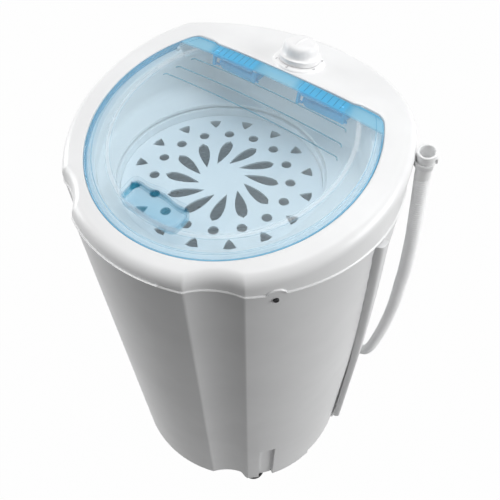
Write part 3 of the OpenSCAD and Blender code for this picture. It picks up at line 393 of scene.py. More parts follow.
# ---- finishes
SHELL = (0.80, 0.805, 0.81)
COVER = (0.87, 0.875, 0.88)
shell_white = moulded("cabinet_plastic", SHELL, 0.42, coat=0.06, specular=0.28)
cover_white = moulded("cover_plastic", COVER, 0.38, coat=0.15)
inner_white = moulded("basket_plastic", (0.90, 0.915, 0.93), 0.35, coat=0.2)
# Dial and knob: a lighter copy of the cover's white. This is painted light: it lifts the dial out of the knob's shadow
# and stands in for the light the knob lets through.
dial_white_painted_light = moulded("dial_plastic_painted_light", (0.92, 0.92, 0.925), 0.36, coat=0.15)
hose_grey = moulded("hose_plastic", (0.965, 0.97, 0.975), 0.45, grain=1500)
foot_rubber = moulded("foot_rubber", (0.012, 0.012, 0.013), 0.75, grain=1800, grain_strength=0.15, drift=0.2)
black_plastic = moulded("black_plastic", (0.02, 0.02, 0.022), 0.5, grain=1600, grain_strength=0.1, drift=0.15)
tub_grey = moulded("tub_plastic", (0.6, 0.61, 0.62), 0.5)
print_grey = Finish("dial_print", (0.06, 0.06, 0.07), 0.5)
print_grey.feed("Roughness", print_grey.noise(300) * 0.2 + 0.4)


def lid_finish():
    """See-through tinted plastic: clear and pale over the basket, a deeper blue where the light
    passes more of it: along the hinge's strip, in the band inside the edge, at its two lines, and
    in the upright walls of the pocket and the rim. A clear pale blue film lets through what is
    behind, and the glossy plastic covers a share of it."""
    finish = Finish("lid_plastic", (0.30, 0.66, 0.86), 0.06, specular=0.6, coat=0.3, coat_roughness=0.02)
    x, y, z = (finish.axis(a) for a in "XYZ")
    out = (x * x + (y + 0.008) * (y + 0.008)) ** 0.5
    strip = y.between(0.0755, 0.0775)
    hinge = strip * (abs(abs(x) - 0.067)).between(0.045, 0.030)
    band = out.between(0.1690, 0.1725) * 0.5
    step = out.between(0.1445, 0.1465) * out.between(0.1525, 0.1505) * (1 - strip)
    line = out.between(0.1755, 0.1762).most(y.between(0.0925, 0.0932))
    inner_line = out.between(0.1676, 0.1680) * out.between(0.1690, 0.1686)
    depth = y * math.tan(DECK_TILT) + 0.7 - z
    below = depth.between(0.0, 0.003)
    wall = below * depth.between(0.0105, 0.0085)
    pocket = wall * out.between(0.1635, 0.1615)
    cloud = finish.noise(16.0, 3.0).between(0.3, 0.75)
    pale = cloud.blend((0.78, 0.93, 1.0), (0.88, 0.97, 1.0))
    tint = band.blend(pale, (0.22, 0.62, 0.88))
    tint = step.blend(tint, (0.92, 0.97, 1.0))
    tint = strip.blend(tint, (0.34, 0.76, 0.98))
    tint = hinge.blend(tint, (0.10, 0.60, 0.95))
    tint = below.blend(tint, (0.14, 0.56, 0.78))
    tint = wall.blend(tint, (0.20, 0.62, 0.84))
    tint = pocket.blend(tint, (0.05, 0.46, 0.64))
    tint = line.most(inner_line * 0.8).blend(tint, (0.12, 0.50, 0.76))
    finish.feed("Base Color", tint)
    finish.feed("Roughness", finish.noise(40.0, 4.0).between(0.4, 0.8) * 0.06 + 0.05)
    finish.bump(finish.noise(14.0, 2.0), 0.12, 0.0006)
    cover = (0.09 + band * 0.2).most(step * 0.2).most(strip * 0.42).most(hinge * 0.58).most(below * 0.24).most(
        wall * 0.34).most(pocket * 0.5).most(line * 0.6).most(inner_line * 0.4)
    film = finish.place.make("ShaderNodeBsdfTransparent", Color=(0.935, 0.978, 1.0, 1.0))
    seen = finish.place.make("ShaderNodeMixShader", i0=cover, i1=film, i2=Field(finish.tree, finish.shader.outputs[0]))
    output = next(n for n in finish.tree.nodes if n.type == "OUTPUT_MATERIAL")
    finish.tree.links.new(seen.socket, output.inputs["Surface"])
    return finish


lid_blue = lid_finish()
lug_blue = moulded("lid_lug_plastic", (0.13, 0.54, 0.86), 0.25, coat=0.4, grain=700)
line_blue = moulded("lid_line_plastic", (0.10, 0.38, 0.50), 0.2, coat=0.4, grain=700)
line_blue.shader.inputs["Alpha"].default_value = 0.6
step_pale = moulded("lid_step_plastic", (0.62, 0.84, 0.96), 0.2, coat=0.4, grain=700)
step_pale.shader.inputs["Alpha"].default_value = 0.35
rib_blue = moulded("lid_rib_plastic", (0.04, 0.28, 0.50), 0.2, coat=0.4, grain=700)
rib_blue.shader.inputs["Alpha"].default_value = 0.6


def sheet_steel(name, colour, roughness, stretch):
    """Rolled sheet: fine streaks along the rolling direction in its gloss, and faint waviness."""
    finish = Finish(name, colour, roughness, metallic=1.0)
    streaks = finish.noise(60.0, 4.0, 0.6, stretch)
    finish.feed("Roughness", streaks.between(0.3, 0.7) * 0.18 + (roughness - 0.09))
    finish.feed("Base Color", finish.noise(9.0, 3.0).blend(lighter(colour, 0.9), lighter(colour, 1.06)))
    finish.bump(streaks, 0.06, 0.0002)
    return finish


basket_steel = sheet_steel("basket_steel", (0.90, 0.91, 0.96), 0.30, (1, 1, 14))
bright_steel = sheet_steel("turned_steel", (0.60, 0.60, 0.61), 0.28, (12, 12, 1))
zinc_plate = sheet_steel("zinc_plate", (0.50, 0.51, 0.52), 0.42, (8, 1, 1))
cast_metal = sheet_steel("cast_aluminium", (0.62, 0.63, 0.64), 0.5, (1, 1, 1))
motor_paint = moulded("motor_paint", (0.12, 0.125, 0.13), 0.5)
black_screw = sheet_steel("black_screw", (0.035, 0.035, 0.037), 0.4, (1, 1, 6))

CAD_FINISH = (
    (inner_white, "inner_cover basket_base basket_rim switch_plunger"),
    (basket_steel, "basket_wall"),
    (tub_grey, "outer_tub timer_body"),
    (foot_rubber, "shaft_seal spring_bushes brake_shoe"),
    (motor_paint, "motor_case motor_rotor"),
    (cast_metal, "motor_top_bracket motor_bottom_bracket brake_drum capacitor"),
    (zinc_plate, "motor_plate base_plate brake_lever capacitor_strap"),
    (black_plastic, "brake_cable lid_switch cord_gland"),
    (hose_grey, "drain_outlet"),
    (bright_steel, "basket_nut drive_shaft bearing_upper bearing_lower brake_pivot timer_shaft"),
    (bright_steel, "rear_cover_screws bracket_screws base_screws hinge_pin_left hinge_pin_right"),
    (bright_steel, "motor_spring_1 motor_spring_2 motor_spring_3"),
)
for finish, named in CAD_FINISH:
    for node in named.split():
        held = nodes[node].data.materials
        held.clear()
        held.append(finish.material)

# ---- camera
EYE = (0.3495, -0.4192, 1.1419)
FOCAL_PX, PICTURE_PX, SENSOR = 575, 500, 36.0
RIGHT, UP, BACK = (0.78881, 0.61464, 0.0), (-0.47869, 0.61434, 0.62726), (0.38554, -0.49478, 0.77882)


def photographers_camera():
    """Camera over the front right corner, looking down at the lid. Its focal length is given in
    pixels of the picture."""
    data = bpy.data.cameras.new("camera")
    data.sensor_width, data.lens = SENSOR, SENSOR * FOCAL_PX / PICTURE_PX
    data.clip_start, data.clip_end = 0.02, 30
    camera = bpy.data.objects.new("camera", data)
    turn = Matrix((RIGHT, UP, BACK)).transposed().to_4x4()
    camera.matrix_world = Matrix.Translation(EYE) @ turn
    bpy.context.scene.collection.objects.link(camera)
    bpy.context.scene.camera = camera


photographers_camera()


# ---- the drain hose
def spline(route, shares):
    """Points of the smooth curve through the route (Catmull-Rom: half of 2b + (c - a) t +
    (2a - 5b + 4c - d) t^2 + (3b - a - 3c + d) t^3) at shares 0 to 1 of its spans."""
    n = len(route) - 1
    s = np.clip(shares, 0, 1) * n
    i = np.minimum(s.astype(int), n - 1)
    t = (s - i)[:, None]
    padded = np.concatenate([[2 * route[0] - route[1]], route, [2 * route[-1] - route[-2]]])
    a, b, c, d = (padded[i + k] for k in range(4))
    return 0.5 * (2 * b + (c - a) * t + (2 * a - 5 * b + 4 * c - d) * t ** 2 + (3 * b - a - 3 * c + d) * t ** 3)


def even_path(route, count):
    """Points evenly spaced along the smooth curve, and its length."""
    fine = spline(route, np.linspace(0, 1, 4000))
    walked = np.concatenate([[0], np.cumsum(np.linalg.norm(np.diff(fine, axis=0), axis=1))])
    at = np.linspace(0, walked[-1], count)
    return np.stack([np.interp(at, walked, fine[:, k]) for k in range(3)], -1), walked[-1]


def tube(path, radii, sides):
    """Rings square to the path: each ring is p + r (cos a u + sin a v), where u and v stand
    square to the path's direction."""
    way = np.gradient(path, axis=0)
    way /= np.linalg.norm(way, axis=1, keepdims=True)
    u = np.cross([0.2, 1, 0.35], way)
    u /= np.linalg.norm(u, axis=1, keepdims=True)
    v = np.cross(way, u)
    a = np.linspace(0, 2 * np.pi, sides, endpoint=False)
    spread = np.cos(a)[None, :, None] * u[:, None] + np.sin(a)[None, :, None] * v[:, None]
    return path[:, None] + np.asarray(radii)[:, None, None] * spread


def drain_hose():
    """Ribbed hose: the radius drops by a rounded valley between ribs, (1 - cos)^0.7 shaped, and
    stays plain for one diameter at each end."""
    path, length = even_path(HOSE_ROUTE, HOSE_RIBS * 8 + 80)
    s = np.linspace(0, length, len(path))
    plain = 22.0
    ribbed = ramp(s, plain - 2, plain) * (1 - ramp(s, length - plain, length - plain + 2))
    wave = ((1 - np.cos(2 * np.pi * (s - plain) / ((length - 2 * plain) / HOSE_RIBS))) / 2) ** 0.7
    outer = tube(path, HOSE_R - 2.0 * ribbed * (1 - wave), 24)
    inner = tube(path, np.full(len(path), HOSE_BORE_R), 24)
    points, faces = closed_shell(outer, inner)
    hose = piece("ribbed_hose", points, faces, hose_grey.material, "root", ["drain_hose"], sharp=60)
    return hose, path, length


hose, hose_path, hose_length = drain_hose()


def turned(profile, sides=64):
    """Profile of (radius, height) points turned round the Z axis into a grid."""
    a = np.linspace(0, 2 * np.pi, sides, endpoint=False)
    profile = np.asarray(profile, float)
    return np.stack([profile[:, :1] * np.cos(a), profile[:, :1] * np.sin(a),
                     np.broadcast_to(profile[:, 1:], (len(profile), sides))], -1)


def placed(grid, origin, rows):
    """The grid's X, Y and Z laid along three directions, and moved to an origin."""
    return grid @ np.asarray(rows, float) + np.asarray(origin, float)


hose_end = HOSE_ROUTE[-1]
hose_way = (HOSE_ROUTE[-1] - HOSE_ROUTE[-2]) / np.linalg.norm(HOSE_ROUTE[-1] - HOSE_ROUTE[-2])
CUFF_AXES = [(1, 0, 0), tuple(np.cross(hose_way, (1, 0, 0))), tuple(hose_way)]


def hose_cuff():
    """Soft cuff at the hose's open end: a sleeve that flares to a thick rolled lip, hollow."""
    outside = [(HOSE_BORE_R, 0.0), (10.2, 0.0), (10.6, 0.5), (10.6, 8), (10.6, 14), (10.9, 16), (11.35, 18),
               (11.5, 20), (11.5, 24.5), (11.3, 25.6), (10.7, 26.1), (9.4, 26.1), (8.8, 25.7), (8.6, 24.8), (8.6, 18),
               (8.2, 15), (HOSE_BORE_R, 13), (HOSE_BORE_R, 6)]
    grid = placed(turned(outside), hose_end, CUFF_AXES)
    return piece("hose_end_cuff", grid, [weave(len(outside), 64, True), ring_closure(len(outside), 64)],
                 hose_grey.material, "root", ["hose_cuff"], sharp=40)


def ring_closure(rows, cols):
    """Quads that join the last ring of a grid to its first."""
    last, first = (rows - 1) * cols + np.arange(cols), np.arange(cols)
    return np.stack([last, np.roll(last, -1), np.roll(first, -1), first], -1)


cuff = hose_cuff()


# ---- the cabinet
def cabinet_shell():
    """The fluted, tapered front shell. Its radius is the round wall's, cut by the flutes, less
    the channels over the front feet; behind the rear cover's edge it steps in under that cover."""
    angles = body_angles()
    heights = np.concatenate([[0, 0.15, 0.4, 0.7, 1.0], [65, 100, 140, CHANNEL_TOP - 0.6, CHANNEL_TOP + 0.2, 180],
                              np.arange(220, 640, 30), [640, 647]])
    low = hem(angles)
    top = arch(angles, ARCH_R - 0.3)
    rows = []
    for h in heights:
        z = low + (60 - low) * h if h <= 1.0 else np.full_like(low, h)
        rows.append(z)
    rows.append(top)
    z = np.array(rows)
    a = np.broadcast_to(angles, z.shape)
    r = fluted(a, body_radius(np.minimum(z, SKIRT_Z)))
    across = np.abs(BASE_R * np.radians(np.abs(wrap(a + 90)) - CHANNEL_ANGLE))
    channel = (1 - ramp(across, CHANNEL_W / 2 - 0.4, CHANNEL_W / 2 + 0.4)) * \
        (1 - ramp(z, CHANNEL_TOP - 0.6, CHANNEL_TOP + 0.2))
    r = r - 6.0 * channel
    behind = ramp(r * np.sin(np.radians(a)) - edge_y(z), 0.4, 3.0)
    r = r + (np.maximum(rear_radius(np.minimum(z, SKIRT_Z)) - PANEL_T, BASE_R) - r) * behind
    outer = polar(a, r, z)
    inner = polar(a, r - WALL, z)
    points, faces = closed_shell(outer, inner)
    return piece("cabinet_shell", points, faces, shell_white.material, "root", ["cabinet"], sharp=28)


def rear_shell():
    """The rear cover with a rib along its slanted front edges. Columns near an edge lie at set
    distances behind it, so that the rib follows the slant; the rest go round the back."""
    depths = np.array([0.3, 1.6, 3.6, 5.4, 7.0, 9, 13, RIB_W - 1.3, RIB_W - 0.5, RIB_W, RIB_W, RIB_W + 1, RIB_W + 4])
    proud = RIB_OUT - np.array([8.0, 4.6, 1.6, 0.4, 0, 0, 0, 0, 0.2, 0.8, 7.2, 8.0, 8])
    z = np.concatenate([[30, 30.6, 33], np.linspace(45, 240, 12), np.linspace(255, 635, 24),
                        [643.4, 645.4, 646]])[:, None]
    drop = np.interp(z, [30, 30.6, 33, 640, 643.4, 645.4, 646], [0.9, 0.2, 0, 0, 0, 0.2, 0.9])
    r = rear_radius(z) + proud - drop
    first = np.degrees(np.arcsin((edge_y(z) + depths) / r))
    middle = np.linspace(0, 1, 122)[None, 1:-1]
    span = first[:, -1:] + middle * (180 - 2 * first[:, -1:])
    angle = np.concatenate([first, span, 180 - first[:, ::-1]], 1)
    radius = np.concatenate([r, np.broadcast_to(rear_radius(z) - drop, span.shape), r[:, ::-1]], 1)
    outer = polar(angle, radius, np.broadcast_to(z, angle.shape))
    inner = polar(angle, np.broadcast_to(rear_radius(z) - WALL, angle.shape), np.broadcast_to(z, angle.shape))
    points, faces = closed_shell(outer, inner, ring=False)
    return piece("rear_shell", points, faces, shell_white.material, "root", ["rear_cover"], sharp=30)


cabinet_shell()
rear_shell()


# ---- the top cover
def top_shell():
    """The cover's skin from its lower bead, up the fluted wall, over the rounded rim and the
    sloping deck, down into the lid's recess and the well, to the lip over the basket's rim. Each
    ring is an outline in plan with its own height. The ledge under the lid is sunk at the two
    rear corners, where the lid's rear edge swings down."""
    angles = body_angles()
    wall_r = fluted(angles, BODY_R)
    low = arch(angles, ARCH_R)

    def plan(r):
        return circle_plan(angles, r)

    def top_at(xy):
        return top_height(xy[:, 0], xy[:, 1])

    rings = []

    def ring(xy, z):
        rings.append(np.concatenate([xy, np.broadcast_to(z, len(xy))[:, None]], 1))

    bead_h = 3.3
    for out, up in ((-0.4, 0.0), (0.6, 0.05), (1.3, 0.5), (1.6, 1.3), (1.3, 2.1), (0.6, 2.7), (0.0, bead_h)):
        ring(plan(wall_r + out), low + up)
    rim_top = top_at(plan(wall_r))
    for share in (0.06, 0.35, 0.7):
        ring(plan(wall_r), low + bead_h + share * (rim_top - RIM_H - low - bead_h))
    for turn in np.linspace(0, 90, 11):
        inset = RIM_W * (1 - math.cos(math.radians(turn)))
        xy = plan(wall_r - inset)
        ring(xy, top_at(xy) - RIM_H * (1 - math.sin(math.radians(turn))))
    edge = plan(wall_r - RIM_W)
    recess = lid_plan(angles, LID_GAP + 0.8, LID_REAR_GAP + 0.8)
    for share in np.linspace(0, 1, 14)[1:]:
        xy = edge + share * (recess - edge)
        ring(xy, top_at(xy))
    lip = lid_plan(angles, LID_GAP + 0.2, LID_REAR_GAP + 0.3)
    ring(lip, top_at(lip) - 0.3)
    lip = lid_plan(angles, LID_GAP, LID_REAR_GAP)
    ring(lip, top_at(lip) - 1.0)
    aside = ramp(np.abs(lip[:, 0]), 112, 120)
    behind = ramp(lip[:, 1], 80, 90) * (1 - aside)
    swung = ramp(lip[:, 1], 75, 80) * aside
    ledge_z = deck_plane(lip[:, 1]) - LID_RIM - 0.3
    ledge_z = ledge_z + (top_at(lip) - 3.2 - ledge_z) * behind + (CORNER_LEDGE_Z - ledge_z) * swung
    ring(lip, ledge_z + 0.6)
    ring(lip, ledge_z)
    well = well_plan(angles)
    ring((lip + well) / 2, ledge_z)
    ring(well_plan(angles, 0.5), ledge_z - 0.1 - 0.5 * behind)
    ring(well, ledge_z - 0.8 - 2 * behind)
    for share in (0.35, 0.8, 0.93, 0.985):
        pull = max(share - 0.8, 0) / 0.2
        ring(well_plan(angles, -7 * pull ** 2.2), THROAT_Z + (1 - share) * (ledge_z - 1 - THROAT_Z))
    foot = well_plan(angles, -8)
    throat = circle_plan(angles, LIP_R + 1.2, DRUM_Y)
    for share in (0.0, 0.3, 0.6, 0.9, 1.0):
        ring(foot + share * (throat - foot), THROAT_Z)
    for out, down in ((0.2, 0.4), (0.0, 1.2), (0.0, 2.8), (0.0, 4.4)):
        ring(circle_plan(angles, LIP_R + out, DRUM_Y), THROAT_Z - down)
    outer = np.array(rings)
    inner = outer - grid_normals(outer) * COVER_T
    points, faces = closed_shell(outer, inner)
    return piece("top_shell", points, faces, cover_white.material, "root", ["top_cover"], sharp=40)


def lid_shell():
    """The lid: from the finger pocket's floor up its walls, across the domed plate to the rounded
    edge and down the rim. Rings go from the pocket's outline to the lid's own, both met by rays
    from the middle of the pocket."""
    fine = np.concatenate([np.arange(0, 360, 0.6), np.arange(-40, 40, 0.25), np.arange(140, 220, 0.25)])
    angles = np.unique(np.round(fine % 360, 3))
    a = np.radians(angles)
    centre = np.array([-7.0, -136.5])
    half_x, half_y, power = 42.0, 15.0, 5.0
    pocket_r = (np.abs(np.cos(a) / half_x) ** power + np.abs(np.sin(a) / half_y) ** power) ** (-1 / power)
    wave, wave_length = 1.6, 44

    def pocket(grow):
        r = pocket_r + grow
        xy = np.stack([r * np.cos(a), r * np.sin(a)], -1)
        xy[:, 1] += np.where(np.sin(a) > 0, wave * np.cos(xy[:, 0] / wave_length * 2 * np.pi), 0)
        return xy + centre

    def outline(shrink):
        """The lid's outline along each ray from the pocket's middle, by halving the span in
        which the outline lies."""
        low, high = np.zeros_like(a), np.full_like(a, 400.0)
        for _ in range(40):
            mid = (low + high) / 2
            x, y = centre[0] + mid * np.cos(a), centre[1] + mid * np.sin(a) + LID_AHEAD
            r_here = np.hypot(x, y)
            r_edge = d_outline(np.degrees(np.arctan2(y, x)), LID_R - shrink, LID_BACK - shrink, LID_CORNER - shrink,
                               shoulder=SHOULDER)
            inside = r_here < r_edge
            low, high = np.where(inside, mid, low), np.where(inside, high, mid)
        return np.stack([low * np.cos(a), low * np.sin(a)], -1) + centre

    rings = []

    def ring(xy, z):
        rings.append(np.concatenate([xy, np.broadcast_to(z, len(xy))[:, None]], 1))

    def floor(xy):
        return deck_plane(xy[:, 1]) - POCKET_DEPTH

    def deck_at(xy):
        return deck_height(xy[:, 0], xy[:, 1])

    for share in (0.02, 0.5, 0.88):
        xy = centre + (pocket(-5) - centre) * share
        ring(xy, floor(xy))
    for grow, up in ((-4, 0.0), (-2.6, 0.5), (-1.6, 1.6), (-1.2, 3.0), (-0.4, 12.0)):
        xy = pocket(grow)
        ring(xy, floor(xy) + up)
    for grow, down in ((0.0, 1.6), (0.5, 0.5), (1.5, 0.0)):
        xy = pocket(grow)
        ring(xy, deck_at(xy) - down)
    start, end = pocket(1.5), outline(1.5)
    for share in np.linspace(0, 1, 42)[1:]:
        xy = start + share * (end - start)
        ring(xy, deck_at(xy))
    for shrink, down in ((0.6, 0.25), (0.1, 1.0), (0.0, 2.0)):
        xy = outline(shrink)
        ring(xy, deck_at(xy) - down)
    xy = outline(0.0)
    deep = 1 - ramp(xy[:, 1], 72, 78)
    ring(xy, deck_at(xy) - 2.4 - (LID_RIM - 2.6) * deep * 0.5)
    ring(xy, np.minimum(deck_at(xy) - 2.4, deck_plane(xy[:, 1]) - LID_RIM * deep))
    outer = np.array(rings)
    inner = outer + grid_normals(outer) * LID_T
    inner[-1, :, 2] = outer[-1, :, 2]
    inner[-2:, :, :2] = outline(LID_T)
    points, faces = closed_shell(outer, inner)
    cap_o, cap_i = len(points), len(points) + 1
    points = np.concatenate([points, [[*centre, outer[0, :, 2].mean()], [*centre, outer[0, :, 2].mean() - LID_T]]])
    cols = len(a)
    n = outer.shape[0] * cols
    first = np.arange(cols)
    fans = [np.stack([np.full(cols, cap_o), np.roll(first, -1), first], -1),
            np.stack([np.full(cols, cap_i), n + first, n + np.roll(first, -1)], -1)]
    faces = [faces[0], faces[1], faces[3], *fans]
    return piece("lid_shell", points, faces, lid_blue.material, "lid", ["lid", "lid_grip"], sharp=40)


top_shell()
lid_shell()


def strip_along(path, width, height):
    """Low rounded ridge along a path: its section is half an ellipse of that width and height,
    closed underneath."""
    path = np.asarray(path, float)
    way = np.gradient(path, axis=0)
    way /= np.linalg.norm(way, axis=1, keepdims=True)
    side = np.cross(way, (0, 0, 1))
    side /= np.linalg.norm(side, axis=1, keepdims=True)
    rise = np.cross(side, way)
    t = np.linspace(0, 2 * np.pi, 12, endpoint=False)
    return path[:, None] + width / 2 * np.cos(t)[None, :, None] * side[:, None] \
        + height * np.sin(t)[None, :, None] * rise[:, None]


def ended(grid, start=0):
    """Faces of a tube of rings with both of its ends closed."""
    rows, cols = grid.shape[:2]
    first = start + np.arange(cols)
    last = first + (rows - 1) * cols
    return [weave(rows, cols, True, start)], [first[::-1].tolist(), last.tolist()]


def many_tubes(name, grids, material, body, sharp=50):
    """One piece from several closed tubes."""
    points, quads, caps, start = [], [], [], 0
    for grid in grids:
        q, c = ended(grid, start)
        points.append(grid.reshape(-1, 3))
        quads += q
        caps += c
        start += grid.shape[0] * grid.shape[1]
    return piece(name, np.concatenate(points), quads + [[c] for c in caps], material, body, (), sharp)


def on_lid(x, y, drop):
    return np.stack(np.broadcast_arrays(x, y, deck_height(x, y) - drop), -1)


def lid_lines():
    """Moulded lines under the lid: the two edges of a round step inside the rim, and three long
    lines in front of the hinge whose ends turn forward in a quarter round."""
    grids = []
    t = np.radians(np.linspace(168, 372, 150))
    for radius in (145.8, 151.2):
        grids.append(strip_along(on_lid(radius * np.cos(t), radius * np.sin(t) - LID_AHEAD, LID_T + 0.2), 0.7, 0.4))
    many_tubes("lid_step_edges", grids, step_pale.material, "lid")
    grids = []
    hook = np.radians(np.linspace(0, 75, 9))
    for y, reach in ((20.4, 127), (38.3, 121), (59.6, 113)):
        x = np.concatenate([-reach - 5 * np.sin(hook[::-1]), np.linspace(-reach, reach, 70)[1:-1],
                            reach + 5 * np.sin(hook)])
        bend = 5 * (1 - np.cos(hook))
        ys = y - np.concatenate([bend[::-1], np.zeros(68), bend])
        grids.append(strip_along(on_lid(x, ys, LID_T + 0.2), 1.3, 0.7))
    many_tubes("lid_lines", grids, line_blue.material, "lid")


def lid_lugs():
    """Two hinge lugs under the lid's rear strip, each a rounded bar over its knuckle, with short
    ribs towards the rear edge."""
    grids, ribs = [], []
    z = knuckle_height()
    for side in (-1, 1):
        x = side * KNUCKLE_X + np.linspace(-KNUCKLE_L / 2, KNUCKLE_L / 2, 12)
        t = np.linspace(0, 2 * np.pi, 32, endpoint=False)
        y_, z_ = 4.5 * np.cos(t), 4.5 * np.sin(t)
        z_ = np.where(z_ > 0, z_ * 1.18, z_)
        grids.append(np.stack(np.broadcast_arrays(x[:, None], HINGE_Y + y_, z + z_), -1))
        for k in range(8):
            xr = side * KNUCKLE_X - 32 + k * 8.4
            y = np.linspace(78.5, LID_BACK - 0.8, 6)
            ribs.append(strip_along(on_lid(np.full_like(y, xr), y, -0.02), 0.9, 0.12))
    many_tubes("lid_lugs", grids, lug_blue.material, "lid")
    many_tubes("lid_lug_ribs", ribs, rib_blue.material, "lid")


def hinge_housings():
    """Two housings on the well's rear wall that hold the hinge pins: a bar with a rounded
    section whose underside rises at both ends, and a thin ear at each end, which goes straight
    down from the pin and back into the bar, clear of the opened lid."""
    bar_top, bar_low, bar_y, bar_depth, bar_half = 705.0, 692.5, 98.2, 9.6, 31.5
    ear_x, ear_r, ear_drop = 32.5, 2.4, 21.0
    for side, node in ((-1, "hinge_bracket_left"), (1, "hinge_bracket_right")):
        u = np.array([-1, -0.995, -0.97, -0.9, -0.82, -0.75, -0.5, 0, 0.5, 0.75, 0.82, 0.9, 0.97, 0.995, 1])
        t = np.linspace(0, 2 * np.pi, 48, endpoint=False)
        cos_t, sin_t = np.cos(t), np.sin(t)
        square = (np.abs(cos_t) ** 6 + np.abs(sin_t) ** 6) ** (-1 / 6)
        shrink = 1 - 0.12 * ramp(np.abs(u), 0.965, 1.0)[:, None]
        low = bar_low + 5.0 * ramp(np.abs(u), 0.78, 1.0)
        mid, half = ((bar_top + low) / 2)[:, None], ((bar_top - low) / 2)[:, None]
        y = bar_y + bar_depth * square * cos_t * shrink
        z = mid + half * square * sin_t * shrink
        grid = np.stack(np.broadcast_arrays(side * KNUCKLE_X + bar_half * u[:, None], y, z), -1)
        ears = []
        for end in (-1, 1):
            x = side * KNUCKLE_X + end * ear_x + np.array([-1.9, -1.7, 1.7, 1.9])
            s = np.array([0.94, 1.0, 1.0, 0.94])[:, None]
            deep = np.where(sin_t < 0, -ear_drop, -ear_r) * sin_t
            ring_y = HINGE_Y + ear_r * cos_t - 0.28 * np.maximum(deep, 0) + 10.5 * ramp(deep, 14.4, 18.5)
            ring_z = knuckle_height() - deep
            middle = (ring_y.mean(), ring_z.mean())
            ears.append(np.stack(np.broadcast_arrays(x[:, None], middle[0] + (ring_y - middle[0]) * s,
                                                     middle[1] + (ring_z - middle[1]) * s), -1))
        made = many_tubes(node.replace("bracket", "housing"), [grid, *ears], lug_blue.material, "root")
        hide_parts(node)


lid_lines()
lid_lugs()
hinge_housings()


# ---- dial and knob
PANEL_AXES = [(1, 0, 0), (0, math.cos(PANEL_TILT), -math.sin(PANEL_TILT)),
              (0, math.sin(PANEL_TILT), math.cos(PANEL_TILT))]
KNOB_AT = (0.0, KNOB_Y, PANEL_Z - KNOB_Y * math.tan(PANEL_TILT))


def dial():
    """Flat raised dial: a disc with a rounded edge, open in the middle for the knob's neck."""
    profile = [(6.0, 2.0), (6.0, 3.0), (20, DIAL_H), (DIAL_R - 2.4, DIAL_H), (DIAL_R - 1.2, DIAL_H - 0.3),
               (DIAL_R - 0.3, DIAL_H - 1.1), (DIAL_R + 0.4, DIAL_H - 2.4), (DIAL_R + 0.8, -1.5),
               (DIAL_R - 2, -1.6), (6.0, -1.6)]
    grid = placed(turned(profile, 96), KNOB_AT, PANEL_AXES)
    return piece("dial_disc", grid, [weave(len(profile), 96, True), ring_closure(len(profile), 96)],
                 dial_white_painted_light.material, "root", ["dial_ring"], turn=True)


def knob():
    """Timer knob: a flared skirt, a grip whose wall is drawn in by very shallow scallops, and a
    crowned top whose shoulder rises and falls three times round."""
    base = DIAL_H + 0.5
    profile = np.array([(3.1, 0), (25.4, 0), (25.9, 0.6), (26.6, 3.6), (KNOB_SKIRT_R, 6.0), (26.9, 6.8),
                        (26.2, 7.4), (25.0, 7.8), (24.2, 8.4), (KNOB_R + 0.3, 9.8), (KNOB_R, 13),
                        (KNOB_R - 0.5, 17.2), (21.9, 19.2), (21.0, 20.7), (19.4, 22.1),
                        (16.3, 23.3), (11.2, 24.3), (6, 24.8), (0.02, KNOB_H - 1.5)])
    grid = turned(profile, 144)
    a = np.radians(np.linspace(0, 360, 144, endpoint=False))
    shoulder = ramp(profile[:, 0], 14, 20) * ramp(profile[:, 1], 9, 19)
    grid[..., 2] += shoulder[:, None] * 1.1 * np.cos(3 * a + 0.4)
    grip = ramp(profile[:, 1], 9.0, 11.0) * (1 - ramp(profile[:, 1], 16, 18))
    grid[..., :2] *= 1 - (grip[:, None] * 0.12 * (0.5 - 0.5 * np.cos(24 * a)) / KNOB_R)[..., None]
    grid[..., 2] += base
    grid = placed(grid, KNOB_AT, PANEL_AXES)
    piece("timer_knob_cap", grid, [weave(len(profile), 144, True)], dial_white_painted_light.material, "knob",
          ["timer_knob"], turn=True)
    top = base + KNOB_H - 1.5
    along = np.linspace(-15, 15, 24)
    bar = np.stack([np.zeros(24), along, top - 0.5 - 0.0095 * along ** 2], -1)
    many_tubes("knob_grip", [placed(strip_along(bar, 5.0, 1.4), KNOB_AT, PANEL_AXES)], dial_white_painted_light.material, "knob")


def dial_numbers():
    """Plain numbers 0 to 4 printed round the dial."""
    for n, turn in enumerate((142, 223, 272, 341, 40)):
        data = bpy.data.curves.new(f"dial_number_{n}", "FONT")
        data.body, data.size, data.align_x, data.align_y = str(n), 0.0062, "CENTER", "CENTER"
        text = bpy.data.objects.new(f"dial_number_{n}", data)
        bpy.context.scene.collection.objects.link(text)
        bpy.context.view_layer.update()
        mesh = bpy.data.meshes.new_from_object(text.evaluated_get(bpy.context.evaluated_depsgraph_get()))
        bpy.data.objects.remove(text)
        r = math.radians(turn)
        lay = Matrix((PANEL_AXES[0], PANEL_AXES[1], PANEL_AXES[2])).transposed().to_4x4()
        lay.translation = [c / 1000 for c in KNOB_AT]
        spot = Matrix.Translation((0.0295 * math.cos(r), 0.0295 * math.sin(r), (DIAL_H + 0.06) / 1000))
        mesh.transform(lay @ spot)
        mesh.materials.clear()
        mesh.materials.append(print_grey.material)
        made = bpy.data.objects.new(f"dial_number_{n}", mesh)
        bpy.context.scene.collection.objects.link(made)
        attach(made, "root")


dial()
knob()
dial_numbers()


